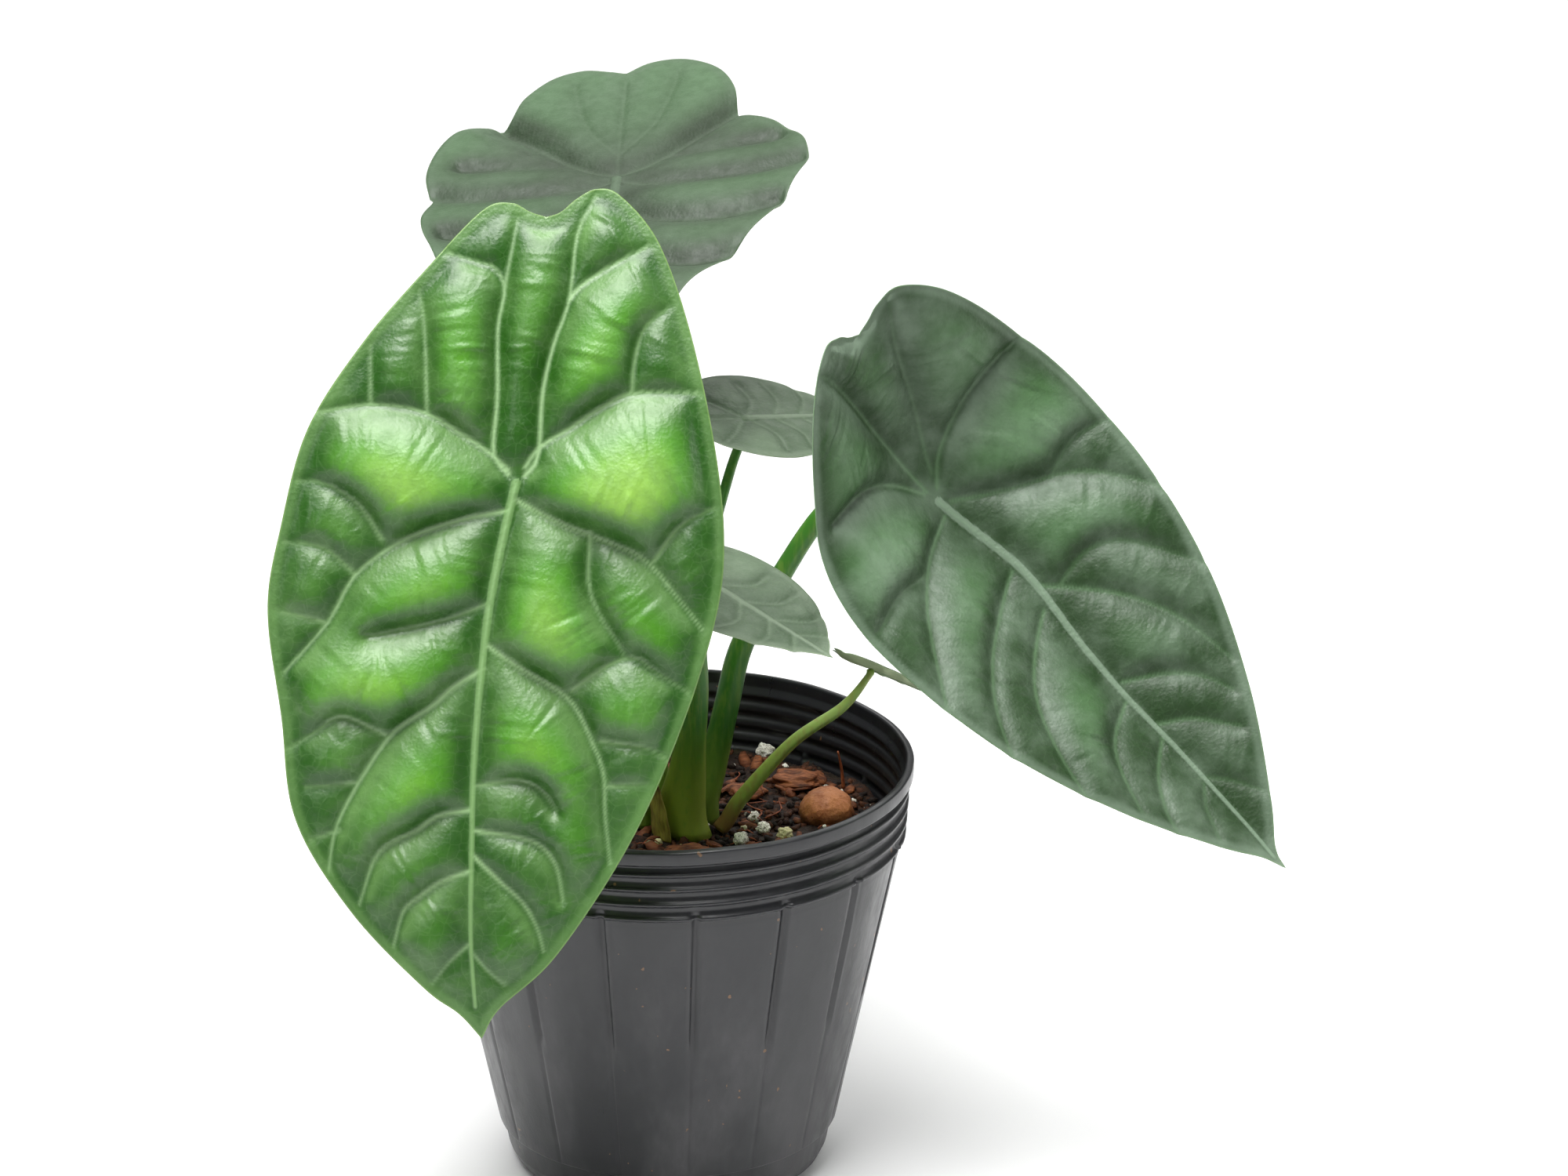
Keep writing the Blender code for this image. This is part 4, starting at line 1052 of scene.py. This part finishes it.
# Back blade: a broad grown leaf held nearly level behind the others. Its panels swell
# out at the rim between the vein ends, which draw it in.
BACK_LEFT = [(0, -108), (-3, -103), (-11, -95), (-27, -76), (-41, -52), (-47, -34), (-50, -22), (-48, -10),
             (-51, 4), (-50, 18), (-45, 31), (-37, 35), (-31, 38), (-27, 47), (-20, 56), (-12, 59), (-5, 57),
             (0, 55)]
BACK_RIGHT = [(0, -108), (3, -101), (10, -87), (20, -68), (33, -50), (42, -36), (48, -21), (51, -7), (50, 6),
              (43, 18), (35, 26), (31, 32), (30, 42), (25, 53), (16, 60), (7, 60), (0, 55)]
BACK_SIDE_VEINS = [
    ("side", [(0, 1), (7, 5), (13, 11), (21, 21), (30, 32), (33, 36)]),
    ("side", [(1, -2), (8, -6), (24, -7), (40, -6), (49, -2)]),
    ("side", [(1, -20), (12, -28), (28, -31), (44, -27)]),
    ("side", [(0, -42), (12, -50), (24, -53), (37, -49)]),
    ("side", [(0, -62), (8, -69), (17, -73), (26, -72)]),
    ("branch", [(0, -80), (5, -86), (11, -90)]),
    ("branch", [(12, 10), (26, 12), (43, 13)]),
    ("faint", [(1, 12), (9, 26), (13, 44), (14, 52)]),
]
back_leaf = Leaf("back_leaf", (-13.2, 75, 246), (-0.04, -0.99, -0.122), (-0.13, -0.12, 0.98),
                 (BACK_LEFT, BACK_RIGHT),
                 [("rib", [(0, 0), (0, -40), (0, -80), (0, -105)]), ("faint", [(0, 1), (0, 30), (0, 50)])]
                 + BACK_SIDE_VEINS + mirrored(BACK_SIDE_VEINS),
                 [(-3, 7), (-4, 12, 125), (-7, 28, 170), (-10, 52, 212), (-12, 68, 230)],
                 [4.0, 3.2, 2.8, 2.4, 2.1], (125, 210), puff=8.0, spread=10.0, collar=0.5, hold=0.05,
                 wave=0.4, bend=((-108, 24), (-60, 8), (0, 0), (20, 2), (60, 4)), crimp=0.03, lop=0.03,
                 paint=0.25, seed=9)
back_mats = blade_mats("old_leaf", painted_shade_and_deep_green="172810", mid="2a4524", painted_lit_and_light_green="446340", bloom_and_painted_reflection="3f533c",
                       vein="485c43", edge="4f6547", under="7a8f6e", roughness=0.58, net=0.04)
back_leaf.make_blade(back_mats, "grown_leaf")
back_leaf.make_petiole(grown_stalk)

# The three small blades, the first leaves of the plant, are thin and hardly quilted.


def small_veins(half_width, length):
    """A midrib and four side veins a side, scaled to the blade."""
    veins = [("rib", [(0, 0), (0, -0.5 * length), (0, -0.96 * length)]),
             ("branch", [(0, 0.01 * length), (0, 0.4 * length)])]
    side = [("branch", [(0.02 * half_width, at * length), (0.4 * half_width, (at - 0.14) * length),
                        (0.8 * half_width, (at - 0.12) * length)]) for at in (-0.02, -0.26, -0.5, -0.7)]
    side.append(("branch", [(0, 0.02 * length), (0.35 * half_width, 0.2 * length),
                            (0.6 * half_width, 0.36 * length)]))
    return veins + side + mirrored(side)


small_mats = blade_mats("small_leaf", painted_shade_and_deep_green="3c4f37", mid="52654c", painted_lit_and_light_green="6a7d64", bloom_and_painted_reflection="707f6a",
                        vein="6f8268", edge="7f9073", under="b4c49c", roughness=0.5, net=0.05)
small_stalk = stalk_mat("small_petiole_skin", "8a6b3c", "8fa548", "86a052")
for name, joint, tip_way, face_way, half_width, length, lobe, route, radii in (
        ("upper_leaf", (21, 45, 189.5), (0.87, 0.47, -0.13), (0, -0.3, 0.95), 20, 33, 1.1,
         [(3, 13), (4, 18, 120), (9, 28, 150), (16, 40, 174)], [2.2, 1.8, 1.5, 1.2]),
        ("lower_leaf", (12, -28, 170.5), (0.76, -0.60, -0.27), (0.24, -0.13, 0.96), 22, 41, 1.0,
         [(-6, 0), (-9, -3, 112), (-6, -14, 134), (3, -24, 152)], [2.6, 2.0, 1.7, 1.5]),
        ("small_leaf", (53.7, 5, 135), (0.92, -0.10, -0.37), (0.36, 0.43, 0.82), 8.5, 22, 1.0,
         [(14, -2), (20, -1, 101), (33, 2, 115), (46, 4, 124)], [2.2, 1.9, 1.6, 1.4, 0.8])):
    leaf = Leaf(name, joint, tip_way, face_way, (half_outline(-half_width, length, lobe),
                                                 half_outline(half_width, length, lobe)),
                small_veins(half_width, length), route, radii, (61, 91), puff=1.8, spread=5, collar=0.6,
                hold=0.6, crimp=0.05, paint=0.7, lean=(2, 0.3, 2.5) if name == "small_leaf" else (0, 0, 6),
                neck=3 if name == "small_leaf" else 9, seed=len(name))
    leaf.make_blade(small_mats, "small_leaf")
    leaf.make_petiole(small_stalk if name == "small_leaf" else grown_stalk)

# ---------------------------------------------------------------- cataphyll
# A papery scale leaf, dried yellow, that once wrapped the front shoot and now stands
# round its foot.

scale_shape = bmesh.new()
bmesh.ops.create_grid(scale_shape, x_segments=40, y_segments=50, size=1)
for vert in scale_shape.verts:
    rise = (vert.co.y + 1) / 2
    turn = math.radians(205 + 45 * vert.co.x * (1 - 0.8 * rise ** 1.6))
    out = 7.2 + 1.5 * rise + 0.35 * noise.noise(Vector((turn * 4, rise * 5, 0)))
    vert.co = (4 + out * math.cos(turn), -5 + out * math.sin(turn), 92.4 + 20.6 * rise)

# Dry leaf sheath: translucent straw yellow with brown veins running up it.
paper_mat, tree, shader, place = finish("papery_scale", 1.45)
ribs = speckle(tree, place, 1.0, 3, 0.6, (1, 1, 0.08))
rot = speckle(tree, place, 6, 3, 0.6)
paper = wash(tree, linear("a9a04a"), linear("8a7a34"), ribs, 0.4, 0.7)
paper = wash(tree, paper, linear("5f4a22"), rot, 0.5, 0.72, 0, 0.7)
set_shader(tree, shader, paper, (ribs, 0.3, 0.7, 0.5, 0.7), ribs, relief=0.3)
scale = piece("scale_leaf", scale_shape, [paper_mat], "cataphyll", "cataphyll")
wall = scale.modifiers.new("Thickness", "SOLIDIFY")
wall.thickness = 0.4 * MM
wall.offset = 0
